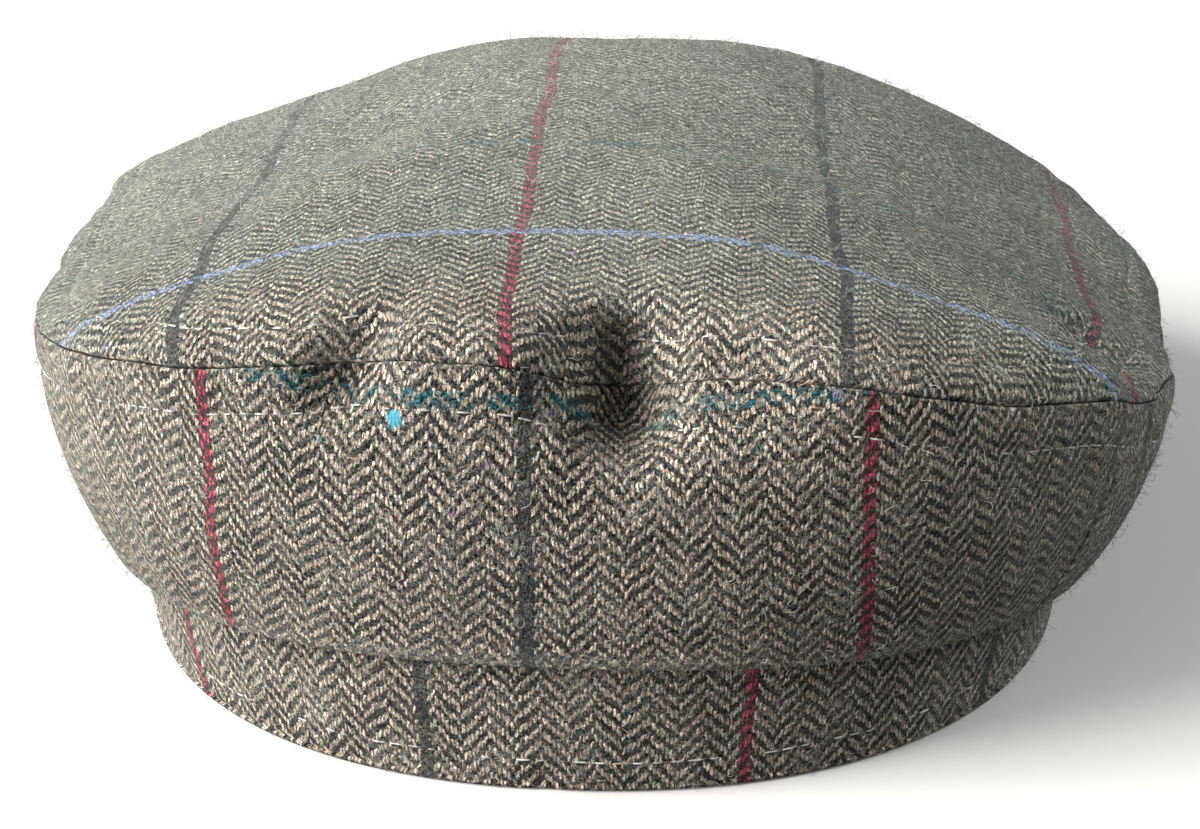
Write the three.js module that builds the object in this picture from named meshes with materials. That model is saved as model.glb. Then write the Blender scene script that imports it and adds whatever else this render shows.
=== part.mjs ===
// A fisherman's cap of tweed: a full, soft crown, an upright band and a stiff cloth-covered peak.
// Millimetres, +Z up. The peak points towards -Y and the wearer's left is +X. The cap rests on the
// back of its band and on the rim of its peak, with the origin under the middle of its footprint.
import * as THREE from 'three';

// ---- Driving dimensions, in millimetres and degrees ----
const band = {
  halfWidth: 85.5,     // outside of the lower edge, across the head
  halfLength: 99.5,    // outside of the lower edge, front to back
  squareness: 2.15,    // 2 is an ellipse
  height: 28,
  lean: 4.6,           // how much wider the upper edge is, on each side
  thickness: 2.6,      // tweed folded double over a stay tape
  frontLift: 10,       // how far the lower edge rises over the middle of the peak
  liftPower: 1.5,
};
const crown = {
  halfWidth: 108,
  back: 107.5,         // how far the tip's seam reaches behind the head's centre
  front: 148.5,        // and in front of it
  squareness: 2.75,
  summit: 86.5,
  summitAside: 5.5,    // the summit sits a little to the wearer's left
  cloth: 1.6,
  hemOut: 2.4,         // how far the fold of the sides stands out from the band
};
const peak = {
  halfSpan: 60,        // station angle from the middle of the front to a corner
  reach: 61,           // from the band to the rim, at the middle
  squareness: 2.3,     // of its rim
  cornerWidth: 4,
  thickness: 3,
  camber: 2.5,         // greatest two thirds of the way out to the rim
  rimRise: 3,          // how far the middle of the rim stands off the surface
  rimSpan: 0.6,        // share of the rim that does
};
const gap = 0.3;       // between pieces that are sewn together
// The seams of the crown's sides: their station angles, and the parting between the panels.
const sideSeams = { left: 34, right: 146, parting: 0.2 };

// The crown's shape at eight stations, every 45 degrees from the wearer's left round by the back.
// out: how far the tip's seam stands outside its plain oval. seamHeight: of that seam.
// foldDrop: how far the sides hang over the band. fullness: outward swell of the sides.
// roundness: the power by which the tip falls from its summit to its seam.
const stations = [
  { place: 'left', out: -3.6, seamHeight: 61, foldDrop: 11.4, fullness: 5.4, roundness: 1.8 },
  { place: 'back left', out: -1.0, seamHeight: 67.7, foldDrop: 5.6, fullness: 3.4, roundness: 2.8 },
  { place: 'back', out: 2, seamHeight: 77.5, foldDrop: 1.6, fullness: 3.1, roundness: 3.5 },
  { place: 'back right', out: -1.9, seamHeight: 62, foldDrop: 6.7, fullness: 3.1, roundness: 2.3 },
  { place: 'right', out: 1.2, seamHeight: 45, foldDrop: 12.9, fullness: 3.6, roundness: 1.9 },
  { place: 'front right', out: 2.4, seamHeight: 51.8, foldDrop: 4.9, fullness: 4.1, roundness: 2.5 },
  { place: 'front', out: -1.5, seamHeight: 66, foldDrop: 2, fullness: 4, roundness: 3.5 },
  { place: 'front left', out: 2.5, seamHeight: 58.9, foldDrop: 5, fullness: 3.9, roundness: 2.1 },
];

// Dents and swells of the crown. station: angle of the place on the tip's seam. inset: how far from
// there towards the summit, or down the side if negative. depth: inwards, or a swell if negative.
// wide and tall: how far the dent spreads along the seam and across it.
const dents = [
  { name: 'dimple at the back', station: 91.5, inset: 1, depth: 6.5, wide: 9, tall: 8 },
  { name: 'hollow beside it', station: 78, inset: 9, depth: 1.6, wide: 9, tall: 6 },
  { name: 'hollow at the right', station: 158, inset: 10, depth: 4.5, wide: 11, tall: 8 },
  { name: 'ridge at the right', station: 140, inset: 4, depth: -2, wide: 6, tall: 14 },
  { name: 'shoulder at the left', station: 344, inset: 1, depth: -3, wide: 10, tall: 6 },
  { name: 'shoulder at the right', station: 237, inset: 24, depth: -1.5, wide: 12, tall: 10 },
];

// ---- How finely each piece is cut into facets ----
const turns = 84;          // facets right round the cap
const sideRows = 8;
const tipRows = [0, 0.028, 0.07, 0.13, 0.21, 0.31, 0.43, 0.57, 0.72, 0.87];
const peakRows = 7;

const degrees = Math.PI / 180;
const up = new THREE.Vector3(0, 0, 1);

// ---- Curves and surfaces of the cap ----
function oval(halfX, backY, frontY, squareness, angle) {
  const cos = Math.cos(angle);
  const sin = Math.sin(angle);
  const x = halfX * Math.sign(cos) * Math.abs(cos) ** (2 / squareness);
  const y = Math.sign(sin) * Math.abs(sin) ** (2 / squareness);
  return new THREE.Vector2(x, (backY - frontY) / 2 + (y * (backY + frontY)) / 2);
}

function atStation(column, angle) {
  const count = stations.length;
  const place = (((angle / (2 * Math.PI)) * count) % count + count) % count;
  const first = Math.floor(place);
  const part = place - first;
  const value = (step) => stations[(first + step + count) % count][column];
  const [before, from, to, after] = [value(-1), value(0), value(1), value(2)];
  const bend = 2 * before - 5 * from + 4 * to - after + part * (3 * (from - to) + after - before);
  return from + 0.5 * part * (to - before + part * bend);
}

function frontLift(angle) {
  return band.frontLift * Math.max(0, -Math.sin(angle)) ** band.liftPower;
}

// A point of the band at a share of its height, moved inwards from its outer face.
function bandPoint(angle, share, inwards) {
  const wider = band.lean * share - inwards;
  const halfLength = band.halfLength + wider;
  const place = oval(band.halfWidth + wider, halfLength, halfLength, band.squareness, angle);
  return new THREE.Vector3(place.x, place.y, frontLift(angle) + band.height * share);
}

// The sides hang over the band, so their fold is lower than its upper edge but as far out.
function foldPoint(angle) {
  const fold = bandPoint(angle, 1, -crown.hemOut);
  fold.z -= atStation('foldDrop', angle);
  return fold;
}

// Where the sides' cloth turns in under the fold to meet the band.
function footPoint(angle) {
  return bandPoint(angle, 1 - atStation('foldDrop', angle) / band.height, -gap);
}

function outwards(angle) {
  const halfLength = (crown.back + crown.front) / 2;
  return new THREE.Vector3(Math.cos(angle) / crown.halfWidth, Math.sin(angle) / halfLength, 0)
    .normalize();
}

function plainSeamPoint(angle) {
  const place = oval(crown.halfWidth, crown.back, crown.front, crown.squareness, angle);
  return new THREE.Vector3(place.x, place.y, atStation('seamHeight', angle))
    .addScaledVector(outwards(angle), atStation('out', angle));
}

const summit = new THREE.Vector3(crown.summitAside, (crown.back - crown.front) / 2, crown.summit);

// From the seam, inset 0, to the summit, inset 1.
function plainTipPoint(angle, inset) {
  const seam = plainSeamPoint(angle);
  const fall = (summit.z - seam.z) * (1 - inset) ** atStation('roundness', angle);
  const point = seam.clone().lerp(summit, inset);
  point.z = summit.z - fall;
  return point;
}

const presses = dents.map((dent) => {
  const angle = dent.station * degrees;
  const seam = plainSeamPoint(angle);
  const inner = plainTipPoint(angle, 0.1).sub(seam).normalize();
  const downSide = foldPoint(angle).sub(seam).normalize();
  const toward = dent.inset > 0 ? inner : downSide;
  return {
    centre: seam.clone().addScaledVector(toward, Math.abs(dent.inset)),
    along: up.clone().cross(outwards(angle)),
    push: inner.clone().add(downSide).normalize().multiplyScalar(dent.depth),
    wide: dent.wide,
    tall: dent.tall,
  };
});

function pressed(point, hold = 1) {
  const result = point.clone();
  for (const press of presses) {
    const away = point.clone().sub(press.centre);
    const along = away.dot(press.along);
    const across = away.addScaledVector(press.along, -along).length();
    const share = Math.exp(-0.5 * ((along / press.wide) ** 2 + (across / press.tall) ** 2));
    result.addScaledVector(press.push, share * hold);
  }
  return result;
}

function tipPoint(angle, inset) {
  return pressed(plainTipPoint(angle, inset));
}

// From the fold at the band, rise 0, to the seam at the tip, rise 1.
function sidePoint(angle, rise) {
  const fold = foldPoint(angle);
  const seam = plainSeamPoint(angle);
  const middle = fold.clone().add(seam).multiplyScalar(0.5)
    .addScaledVector(outwards(angle), 2 * atStation('fullness', angle));
  const lower = fold.multiplyScalar((1 - rise) ** 2);
  const point = lower.addScaledVector(middle, 2 * rise * (1 - rise)).addScaledVector(seam, rise ** 2);
  return pressed(point, Math.min(1, 2 * rise));
}

// Both cloths end at the plane that halves the angle between them, half a gap short of it.
function seamEdge(angle, onTip) {
  const seam = tipPoint(angle, 0);
  const intoTip = tipPoint(angle, tipRows[1]).sub(seam).normalize();
  const intoSide = sidePoint(angle, 1 - 1 / sideRows).sub(seam).normalize();
  const inwards = intoTip.clone().add(intoSide).normalize();
  const slant = 1 / Math.sin(intoTip.angleTo(intoSide) / 2);
  const outer = seam.addScaledVector(onTip ? intoTip : intoSide, (gap / 2) * slant);
  const inner = outer.clone().addScaledVector(inwards, crown.cloth * slant);
  return { outer, inner };
}

// ---- Closed solids from rows of points ----
class Solid {
  constructor() {
    this.points = [];
    this.faces = [];
  }

  add(point) {
    this.points.push(point.x, point.y, point.z);
    return this.points.length / 3 - 1;
  }

  addRow(points) {
    return points.map((point) => this.add(point));
  }

  // Faces between two rows. They point to the right of the way from the first to the second row,
  // seen along the rows.
  join(from, to, closed = false) {
    const last = closed ? from.length : from.length - 1;
    for (let i = 0; i < last; i += 1) {
      const next = (i + 1) % from.length;
      this.faces.push(from[i], from[next], to[next], from[i], to[next], to[i]);
    }
  }

  fan(centre, row) {
    row.forEach((corner, i) => this.faces.push(centre, corner, row[(i + 1) % row.length]));
  }

  geometry() {
    const made = new THREE.BufferGeometry();
    made.setAttribute('position', new THREE.Float32BufferAttribute(this.points, 3));
    made.setIndex(this.faces);
    made.computeVertexNormals();
    return made;
  }
}

// A wall whose cross-section, a closed run of points for each column, is swept along the columns.
function sweptWall(sections, closed) {
  const solid = new Solid();
  const rows = sections[0].map((_, i) => solid.addRow(sections.map((section) => section[i])));
  rows.forEach((row, i) => solid.join(row, rows[(i + 1) % rows.length], closed));
  if (!closed) {
    const corners = rows.map((row) => row[0]);
    const ends = rows.map((row) => row[row.length - 1]);
    const half = corners.length / 2;
    for (let i = 0; i < half - 1; i += 1) {
      const [a, b] = [i, i + 1];
      const [d, c] = [corners.length - 1 - i, corners.length - 2 - i];
      solid.faces.push(corners[a], corners[b], corners[c], corners[a], corners[c], corners[d]);
      solid.faces.push(ends[a], ends[c], ends[b], ends[a], ends[d], ends[c]);
    }
  }
  return solid.geometry();
}

function anglesBetween(start, end) {
  const count = Math.round(((end - start) / 360) * turns);
  return Array.from({ length: count + 1 }, (_, i) => (start + ((end - start) * i) / count) * degrees);
}

function bandGeometry() {
  const angles = anglesBetween(0, 360).slice(0, -1);
  const sections = angles.map((angle) => [
    bandPoint(angle, 0, 0),
    bandPoint(angle, 0.5, 0),
    bandPoint(angle, 1, 0),
    bandPoint(angle, 1, band.thickness),
    bandPoint(angle, 0.5, band.thickness),
    bandPoint(angle, 0, band.thickness),
  ]);
  return sweptWall(sections, true);
}

function surfaceNormal(surface, angle, share) {
  const step = 0.01;
  const alongAngle = surface(angle + step, share).sub(surface(angle - step, share));
  const alongShare = surface(angle, share + step).sub(surface(angle, Math.max(0, share - step)));
  return alongAngle.cross(alongShare).normalize();
}

// The sides' cloth comes down from the seam and turns in to the band, where it is sewn.
function sideSection(angle) {
  const edge = seamEdge(angle, false);
  const rises = Array.from({ length: sideRows }, (_, i) => i / sideRows);
  const outer = rises.map((rise) => sidePoint(angle, rise));
  const inner = rises.map((rise, i) =>
    outer[i].clone().addScaledVector(surfaceNormal(sidePoint, angle, rise), -crown.cloth));
  inner[0] = footPoint(angle);
  return [...outer, edge.outer, edge.inner, ...inner.reverse()];
}

function sideGeometry(start, end) {
  return sweptWall(anglesBetween(start, end).map(sideSection), false);
}

function tipGeometry() {
  const solid = new Solid();
  const angles = anglesBetween(0, 360).slice(0, -1);
  const edges = angles.map((angle) => seamEdge(angle, true));
  const outer = tipRows.map((inset, i) =>
    solid.addRow(angles.map((angle, j) => (i === 0 ? edges[j].outer : tipPoint(angle, inset)))));
  const inner = tipRows.map((inset, i) =>
    solid.addRow(angles.map((angle, j) => {
      if (i === 0) return edges[j].inner;
      const out = surfaceNormal(tipPoint, angle, inset);
      return tipPoint(angle, inset).addScaledVector(out, -crown.cloth);
    })));
  for (let i = 0; i + 1 < tipRows.length; i += 1) {
    solid.join(outer[i], outer[i + 1], true);
    solid.join(inner[i + 1], inner[i], true);
  }
  solid.join(inner[0], outer[0], true);
  solid.fan(solid.add(pressed(summit)), outer[outer.length - 1]);
  const under = pressed(summit).addScaledVector(up, -crown.cloth);
  solid.fan(solid.add(under), [...inner[inner.length - 1]].reverse());
  return solid.geometry();
}

const camberShape = 27 / 4;   // makes out ** 2 * (1 - out) reach 1 at its greatest

// The peak runs out from under the front of the band. side goes from -1 to 1 across it, and out
// from 0 at the band's inner face to 1 at the rim.
function peakPoint(side, out, above) {
  const angle = (270 + side * peak.halfSpan) * degrees;
  const inner = bandPoint(angle, 0, band.thickness);
  const corner = bandPoint((270 + peak.halfSpan) * degrees, 0, -peak.cornerWidth);
  const front = band.halfLength + peak.reach + corner.y;
  const place = oval(corner.x, front, front, peak.squareness, (270 + side * 90) * degrees);
  const rim = new THREE.Vector3(place.x, corner.y + place.y, 0);
  const point = inner.clone().lerp(rim, out);
  const lifted = Math.max(0, 1 - (side / peak.rimSpan) ** 2) ** 2;
  const rimHeight = peak.thickness + peak.rimRise * lifted;
  const innerHeight = frontLift(angle) - gap;
  const swell = peak.camber * camberShape * out ** 2 * (1 - out) * (1 - side ** 2);
  point.z = innerHeight + (rimHeight - innerHeight) * out + swell - (above ? 0 : peak.thickness);
  return point;
}

// Its columns fall on the band's own facets, so the gap between the two is even.
function peakGeometry() {
  const outs = Array.from({ length: peakRows + 1 }, (_, i) => i / peakRows);
  const columns = Math.round((turns * peak.halfSpan) / 180);
  const sections = Array.from({ length: columns + 1 }, (_, i) => {
    const side = -1 + (2 * i) / columns;
    const under = outs.map((out) => peakPoint(side, out, false));
    const over = outs.map((out) => peakPoint(side, out, true));
    return [...under, ...over.reverse()];
  });
  return sweptWall(sections, false);
}

// ---- The cap ----
function tweed(colour) {
  return new THREE.MeshStandardMaterial({ color: colour, roughness: 0.95, metalness: 0 });
}

const { left, right, parting } = sideSeams;
const backPanel = sideGeometry(left, right);
const frontPanel = sideGeometry(right + parting, left + 360 - parting);
const pieces = [
  { name: 'crown_tip', geometry: tipGeometry(), colour: 0x92938b },
  { name: 'crown_side_back', geometry: backPanel, colour: 0x76716a },
  { name: 'crown_side_front', geometry: frontPanel, colour: 0x7a756d },
  { name: 'band', geometry: bandGeometry(), colour: 0x6e6962 },
  { name: 'peak', geometry: peakGeometry(), colour: 0x6a665f },
];

const cap = new THREE.Group();
for (const piece of pieces) {
  const mesh = new THREE.Mesh(piece.geometry, tweed(piece.colour));
  mesh.name = piece.name;
  cap.add(mesh);
}

const footprint = new THREE.Box3().setFromObject(cap);
const middle = footprint.getCenter(new THREE.Vector3());
cap.position.set(-middle.x, -middle.y, -footprint.min.z);

export default cap;
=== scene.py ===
"""A fisherman's cap of herringbone tweed: a full soft crown, an upright band and a stiff peak.

The file is laid out as an add-on for Blender 4.5 and is run as a script. Shapes are worked out in
millimetres from the middle of the head opening, with the peak towards -Y, and are put in the frame
in metres.
"""

import math
from types import SimpleNamespace

import bpy
import numpy as np
from bpy.props import FloatProperty, FloatVectorProperty, IntProperty, PointerProperty
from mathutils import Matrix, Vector


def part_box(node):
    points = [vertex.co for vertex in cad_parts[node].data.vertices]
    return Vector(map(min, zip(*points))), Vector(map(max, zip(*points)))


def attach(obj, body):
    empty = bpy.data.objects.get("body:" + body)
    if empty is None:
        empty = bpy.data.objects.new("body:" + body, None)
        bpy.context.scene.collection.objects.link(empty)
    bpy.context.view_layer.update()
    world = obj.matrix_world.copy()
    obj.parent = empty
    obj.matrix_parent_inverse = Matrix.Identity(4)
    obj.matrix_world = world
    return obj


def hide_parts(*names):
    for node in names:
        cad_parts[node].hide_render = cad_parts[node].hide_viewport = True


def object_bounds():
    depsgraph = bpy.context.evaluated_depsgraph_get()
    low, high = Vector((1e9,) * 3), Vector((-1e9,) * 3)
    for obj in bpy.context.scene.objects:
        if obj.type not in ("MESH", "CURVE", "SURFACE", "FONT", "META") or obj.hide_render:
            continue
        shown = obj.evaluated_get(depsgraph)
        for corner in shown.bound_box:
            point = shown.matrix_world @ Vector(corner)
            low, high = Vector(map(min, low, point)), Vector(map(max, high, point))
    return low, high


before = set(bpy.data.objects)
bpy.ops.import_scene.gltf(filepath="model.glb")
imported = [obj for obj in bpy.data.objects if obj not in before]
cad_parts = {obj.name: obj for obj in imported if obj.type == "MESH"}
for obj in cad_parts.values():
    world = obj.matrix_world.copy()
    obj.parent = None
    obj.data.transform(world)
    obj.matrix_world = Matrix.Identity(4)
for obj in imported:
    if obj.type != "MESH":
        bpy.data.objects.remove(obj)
CAD_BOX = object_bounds()

bl_info = {
    "name": "Tweed cap maker",
    "version": (1, 0, 0),
    "blender": (4, 5, 0),
    "location": "3D View > Sidebar > Cap",
    "description": "Makes a fisherman's cap of herringbone tweed in its packed frame",
    "category": "Object",
}

TO_METRES = 0.001
DEGREES = math.pi / 180

# ---- The cap's measures, in millimetres and degrees ----
BAND = SimpleNamespace(
    half_width=85.5, half_length=99.5, squareness=2.15, height=28.0, lean=4.6,
    thickness=2.6, front_lift=10.0, lift_power=1.5, rounding=1.2, swell=0.35,
    stitched=4.6,       # height of its stitch row
)
CROWN = SimpleNamespace(
    half_width=108.0, back=107.5, front=148.5, squareness=2.75, summit=86.5,
    summit_aside=5.5, hem_out=3.4,
)
PEAK = SimpleNamespace(
    half_span=60.0, reach=61.0, squareness=2.3, corner_width=4.0, thickness=3.0,
    camber=2.5, camber_shape=27 / 4, rim_rise=3.0, rim_span=0.6,
    soft_from=0.985, soft_over=0.0151,      # where its corners thin out, as shares of its half
    thinnest=0.02,
)
SIDE_SEAMS = SimpleNamespace(left=34.0, right=146.0, parting=0.2)
GAP = 0.3               # between the band and the peak
SEAM_GAP = 0.20         # between the cloths at the tip's seam
PEAK_STITCHED = (3.0, 11.0, 19.0, 27.0)    # stitch rows, from the rim
FURROW_WIDTH = 0.9      # of the furrow under a stitch row of the band or the peak
ROW_END = 4             # how far from the band a stitch row of the peak stops
QUILT = SimpleNamespace(beyond_row=4, width=2.6, share=0.6)     # swells between the peak's rows
BAND_DENT = SimpleNamespace(x=3.5, z=3.0, wide=3.2, tall=2.6, depth=0.9)

# The crown at eight stations, every 45 degrees from the wearer's left round by the back.
STATIONS = {
    # how far the tip's seam stands outside its plain oval
    "out": (-2.7, -1.0, 2.0, -1.9, -1.4, 2.4, -1.5, 2.5),
    # height of that seam
    "seam_height": (58.2, 67.7, 77.5, 62, 45, 51.8, 66, 58.9),
    # how far the sides hang over the band
    "fold_drop": (11.4, 5.6, 1.6, 6.7, 12.9, 4.9, 2.0, 5.0),
    # outward swell of the sides
    "fullness": (3.0, 3.0, 3.1, 3.1, 3.6, 4.1, 4.0, 3.9),
    # the power by which the tip falls from its summit to its seam
    "roundness": (1.8, 2.8, 3.5, 2.3, 1.9, 2.5, 3.5, 2.1),
}

# Dents and swells: station, inset from the seam, depth inwards, and spread along and across.
DENTS = (
    (91.5, 1, 6.5, 9, 8),       # dimple at the back
    (78, 9, 1.6, 9, 6),         # hollow beside it
    (158, 10, 4.5, 11, 8),      # hollow at the right
    (140, 4, -2, 6, 14),        # ridge at the right
    (344, 1, -3, 10, 6),        # shoulder at the left
    (237, 24, -1.5, 12, 10),    # shoulder at the right
)

# The sharper middles of those dents, and the creases between them.
CREASES = (
    (92.3, 5.5, 14.8, 5.5, 8.0),
    (92.7, -6.5, 8.6, 4.9, 5.2),
    (88.2, 2, -1.6, 2.8, 8.0),
    (98.5, 0.5, 1.6, 7.0, 3.0),
    (99.5, 3, 4.6, 8.0, 8.5),
    (78.2, 2.5, 8.0, 4.4, 6.0),
    (76.5, -3, 2.5, 4.0, 4.0),
    (73.5, 5, -1.0, 3.2, 5.5),
    (165.5, 14, 6.5, 5.0, 8.0),
    (156, 8, -2.4, 3.6, 15.0),
    (161, -12, 2.6, 4.0, 13.0),
    (352, 18, -4.6, 24.0, 13.0),
    (190, 10, -3.2, 14.0, 9.0),
)
CREASE_SLOPE = 0.34     # how far they go down for each step inwards

# Where the tip's border is fuller than its plain shape.
BORDER = SimpleNamespace(
    height=3.0, place=12.5, first=38.0, last=152.0, fade=22.0, up=0.9, out=0.3,
)

UP = np.array([0.0, 0.0, 1.0])
SUMMIT = np.array([CROWN.summit_aside, (CROWN.back - CROWN.front) / 2, CROWN.summit])

# Distances from a sewn edge at which its cloth is drawn finely: the roll into the seam, the
# pillow beside it and the furrow under the stitches.
NEAR = np.array([
    0, 0.08, 0.2, 0.38, 0.6, 0.85, 1.15, 1.5, 2, 2.6, 3.4, 4.3, 5.2, 6.0, 6.7, 7.2, 7.5, 7.8,
    8.1, 8.5, 9.1, 9.9, 10.8, 11.8, 12.9, 14,
])
STITCHED = 17           # the place of the stitch row in NEAR
CROWN_FURROW = 1.0      # width of the furrow under it
ROLL_BLEND = 2.4        # how far from the seam its roll leans into the corner
GATHER_REACH = 7.0      # how far from the seam its gathers fade
TIP_NEARBY, SIDE_NEARBY = 0.04, 0.9     # places on the two cloths that are close to the seam
LIP = 1.2               # how far a cloth's edge stands in under its seam
LIP_ROWS = 9            # rows of its inside that the lip takes up
CROWN_INSIDE = (0.0, -20.0, 40.0)       # a point inside the crown

# The curve of a side panel's fold down and under to its foot: how far it reaches from each of
# them, and the cloth that it takes up.
FOLD_REACH, FOOT_REACH = 1.5, 1.7
ROLL_CLOTH = (0.4, 3.5)

# Uneven drifts of the cloth: seed, and shortest and longest wave. The band's has its size too.
SLOW_SWELLS = (11, 30, 75)
SMALL_CRUMPLES = (12, 11, 26)
GATHERS = (21, 6, 13)
BAND_SWELLS = (31, 18, 60, 0.25)

# How many columns and rows of points the surfaces have.
TIP_COLUMNS, TIP_ROWS = 480, 62
BACK_COLUMNS, FRONT_COLUMNS, SIDE_ROWS = 176, 330, 36
FINE_END = 6            # how far from a panel's end its columns lie closely
ROLL_STEPS = 8          # round a side panel's fold
BAND_COLUMNS = 440
PEAK_COLUMNS, PEAK_ROWS = 220, 56
SAMPLES = 60001         # of a curve that is measured
INSETS = np.linspace(0, 1, 260)     # samples of the way from the tip's seam to its summit
RISES = np.linspace(1, 0, 200)      # and of the way from that seam down to the fold

# ---- The cloth's measures ----
STRIPE_ENDS = 6.0       # warp yarns in one stripe of the herringbone
TWILL_PICKS = 4.0       # weft yarns in one repeat of its twill
TWEED_ENDS = 74         # warp yarns from one coloured line to the next
TWEED_PICKS = 78        # and weft yarns
WEAVE_RELIEF = 0.00045  # height of the weave, in metres

# How each piece is cut from its cloth: where its middle lies across and along it, how much its
# lines lean, bow or ease, and where the band's two ends are sewn together. The tip's bow is for
# a distance of 1 from its middle, and a side's for one of 50.
TIP_CLOTH = SimpleNamespace(across=6.9, along=79.7, slant=0.030, bow=0.0017)
SIDE_CLOTH = SimpleNamespace(
    across=49.9, front_across=27.0, along=147.8, stretch=0.998, ease=0.027, bow=4.0,
)
BAND_CLOTH = SimpleNamespace(across=31.2, along=20.0, join=250.0)
PEAK_CLOTH = SimpleNamespace(across=27.0, along=-88.0)

# The cloth grows more felted from the first x to the second, on either side, and from the first
# y to the second. All are in metres.
TIP_FELTED = ((0.060, 0.125), (0.160, -0.050))
SIDE_FELTED = ((0.050, 0.120), (-0.500, -0.900))
MOST_FELTED = 0.7       # how felted the cloth grows there
# How far up from a side's fold the cloth is rubbed, and how much there and round the fold.
FOLD_WORN = SimpleNamespace(reach=2.2, above=0.5, round_it=0.6)
FOLD_ROWS = 2           # rows at a panel's fold that carry more hairs
FOLD_LAYERS = 3         # how many times more

# The tip is painted cooler and greener than the sides: a painted tint of cool light from above. That
# fades between these two y, in metres, and its border at the back has none of it.
TIP_PAINTED_SKY_TINT = (0.91, 1.01, 1.03)
PAINTED_SKY_FADE = (0.094, 0.124)

# The bright nep on the sides: its place, and in metres how far its colour reaches.
FLECK = SimpleNamespace(
    station=81.0, below_seam=9.5, inner=0.0016, outer=0.0025, unevenness=0.0016, grain=900.0,
)

# How high a stitch lies, and how far it may sink, in thicknesses of its thread.
STITCH_LIFT, STITCH_SINKING = 0.42, 1.05
# Least and most size of a stitch and of a hair, and lean of a hair in radians.
STITCH_SIZES = (0.82, 1.08)
HAIR_SIZES = (0.45, 1.45)
HAIR_LEANS = (-0.75, 0.12)

# A stitch and three kinds of hair, as curves through four points in space.
STITCH_BEND = ((-0.5, 0, -1.2), (-0.36, 0, 0.3), (0.36, 0, 0.3), (0.5, 0, -1.2))
HAIR_CURLS = (
    ((0, 0, -0.03), (0.35, 0.35, 0.30), (0.75, -0.30, 0.26), (0.95, 0.05, 0.06)),
    ((0, 0, -0.03), (0.10, 0.45, 0.34), (0.85, 0.50, 0.20), (0.62, -0.12, 0.10)),
    ((0, 0, -0.03), (0.30, -0.15, 0.18), (0.55, 0.30, 0.42), (0.80, 0.10, 0.44)),
)

# ---- The stage: each lamp's name, way from the cap, size, power setting and tint ----
LAMPS = (
    ("main_lamp", (1.58, 0.72, 0.90), 2.4, "key_power", (1.0, 0.985, 0.96)),
    ("right_lamp", (-1.45, -0.30, 0.95), 1.6, "right_power", (0.93, 1.0, 0.98)),
    ("fill_lamp", (0.80, 1.0, 0.10), 1.6, "fill_power", (1.0, 0.98, 0.94)),
)
LAMP_DISTANCE = 3.0
CAMERA = SimpleNamespace(place=(-36.8, 577.6, 234.6), way=(0.0623, -0.9415, -0.3311))


# ---- Curves and surfaces of the cap ----
def points_of(x, y, z):
    return np.stack(np.broadcast_arrays(x, y, z), axis=-1).astype(float)


def unit(vectors):
    return vectors / np.linalg.norm(vectors, axis=-1, keepdims=True)


def smooth_step(low, high, values):
    share = np.clip((values - low) / (high - low), 0, 1)
    return share * share * (3 - 2 * share)


def falling(away, width):
    """1 at a place, and falling smoothly to nearly 0 at twice the width from it."""
    return np.exp(-(away / width) ** 2)


def oval(half_x, back_y, front_y, squareness, angle):
    cos, sin = np.cos(angle), np.sin(angle)
    x = half_x * np.sign(cos) * np.abs(cos) ** (2 / squareness)
    y = np.sign(sin) * np.abs(sin) ** (2 / squareness)
    return x, (back_y - front_y) / 2 + y * (back_y + front_y) / 2


def at_station(column, angle):
    values = np.array(STATIONS[column], float)
    count = len(values)
    place = (np.asarray(angle) / (2 * math.pi) * count) % count
    first = np.floor(place).astype(int)
    part = place - first
    before, start, end, after = (values[(first + step) % count] for step in (-1, 0, 1, 2))
    bend = 2 * before - 5 * start + 4 * end - after + part * (3 * (start - end) + after - before)
    return start + 0.5 * part * (end - before + part * bend)


def front_lift(angle):
    return BAND.front_lift * np.maximum(0, -np.sin(angle)) ** BAND.lift_power


def band_point(angle, share, inwards=0.0):
    wider = BAND.lean * share - inwards
    x, y = oval(BAND.half_width + wider, BAND.half_length + wider, BAND.half_length + wider,
                BAND.squareness, angle)
    return points_of(x, y, front_lift(angle) + BAND.height * share)


def fold_point(angle):
    fold = band_point(angle, 1.0, -CROWN.hem_out)
    fold[..., 2] -= at_station("fold_drop", angle)
    return fold


def foot_point(angle):
    return band_point(angle, 1 - at_station("fold_drop", angle) / BAND.height, -0.1)


def outwards(angle):
    half_length = (CROWN.back + CROWN.front) / 2
    return unit(points_of(np.cos(angle) / CROWN.half_width, np.sin(angle) / half_length, 0.0))


def plain_seam(angle):
    x, y = oval(CROWN.half_width, CROWN.back, CROWN.front, CROWN.squareness, angle)
    seam = points_of(x, y, at_station("seam_height", angle))
    return seam + outwards(angle) * np.asarray(at_station("out", angle))[..., None]


def plain_tip(angle, inset):
    """From the seam, inset 0, to the summit, inset 1."""
    angle, inset = np.broadcast_arrays(angle, inset)
    seam = plain_seam(angle)
    points = seam + (SUMMIT - seam) * inset[..., None]
    fall = (SUMMIT[2] - seam[..., 2]) * (1 - inset) ** at_station("roundness", angle)
    points[..., 2] = SUMMIT[2] - fall
    return points


def made_presses():
    """The place, spread and push of each dent."""
    presses = []
    for number, (station, inset, depth, wide, tall) in enumerate(DENTS + CREASES):
        angle = np.array(station * DEGREES)
        seam, out = plain_seam(angle), outwards(angle)
        inner, down_side = unit(plain_tip(angle, 0.1) - seam), unit(fold_point(angle) - seam)
        toward = inner if inset > 0 else down_side
        way = unit(inner + down_side) if number < len(DENTS) else unit(-out - UP * CREASE_SLOPE)
        presses.append(SimpleNamespace(
            centre=seam + toward * abs(inset), along=np.cross(UP, out), push=way * depth,
            wide=wide, tall=tall))
    return presses


PRESSES = made_presses()


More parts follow.
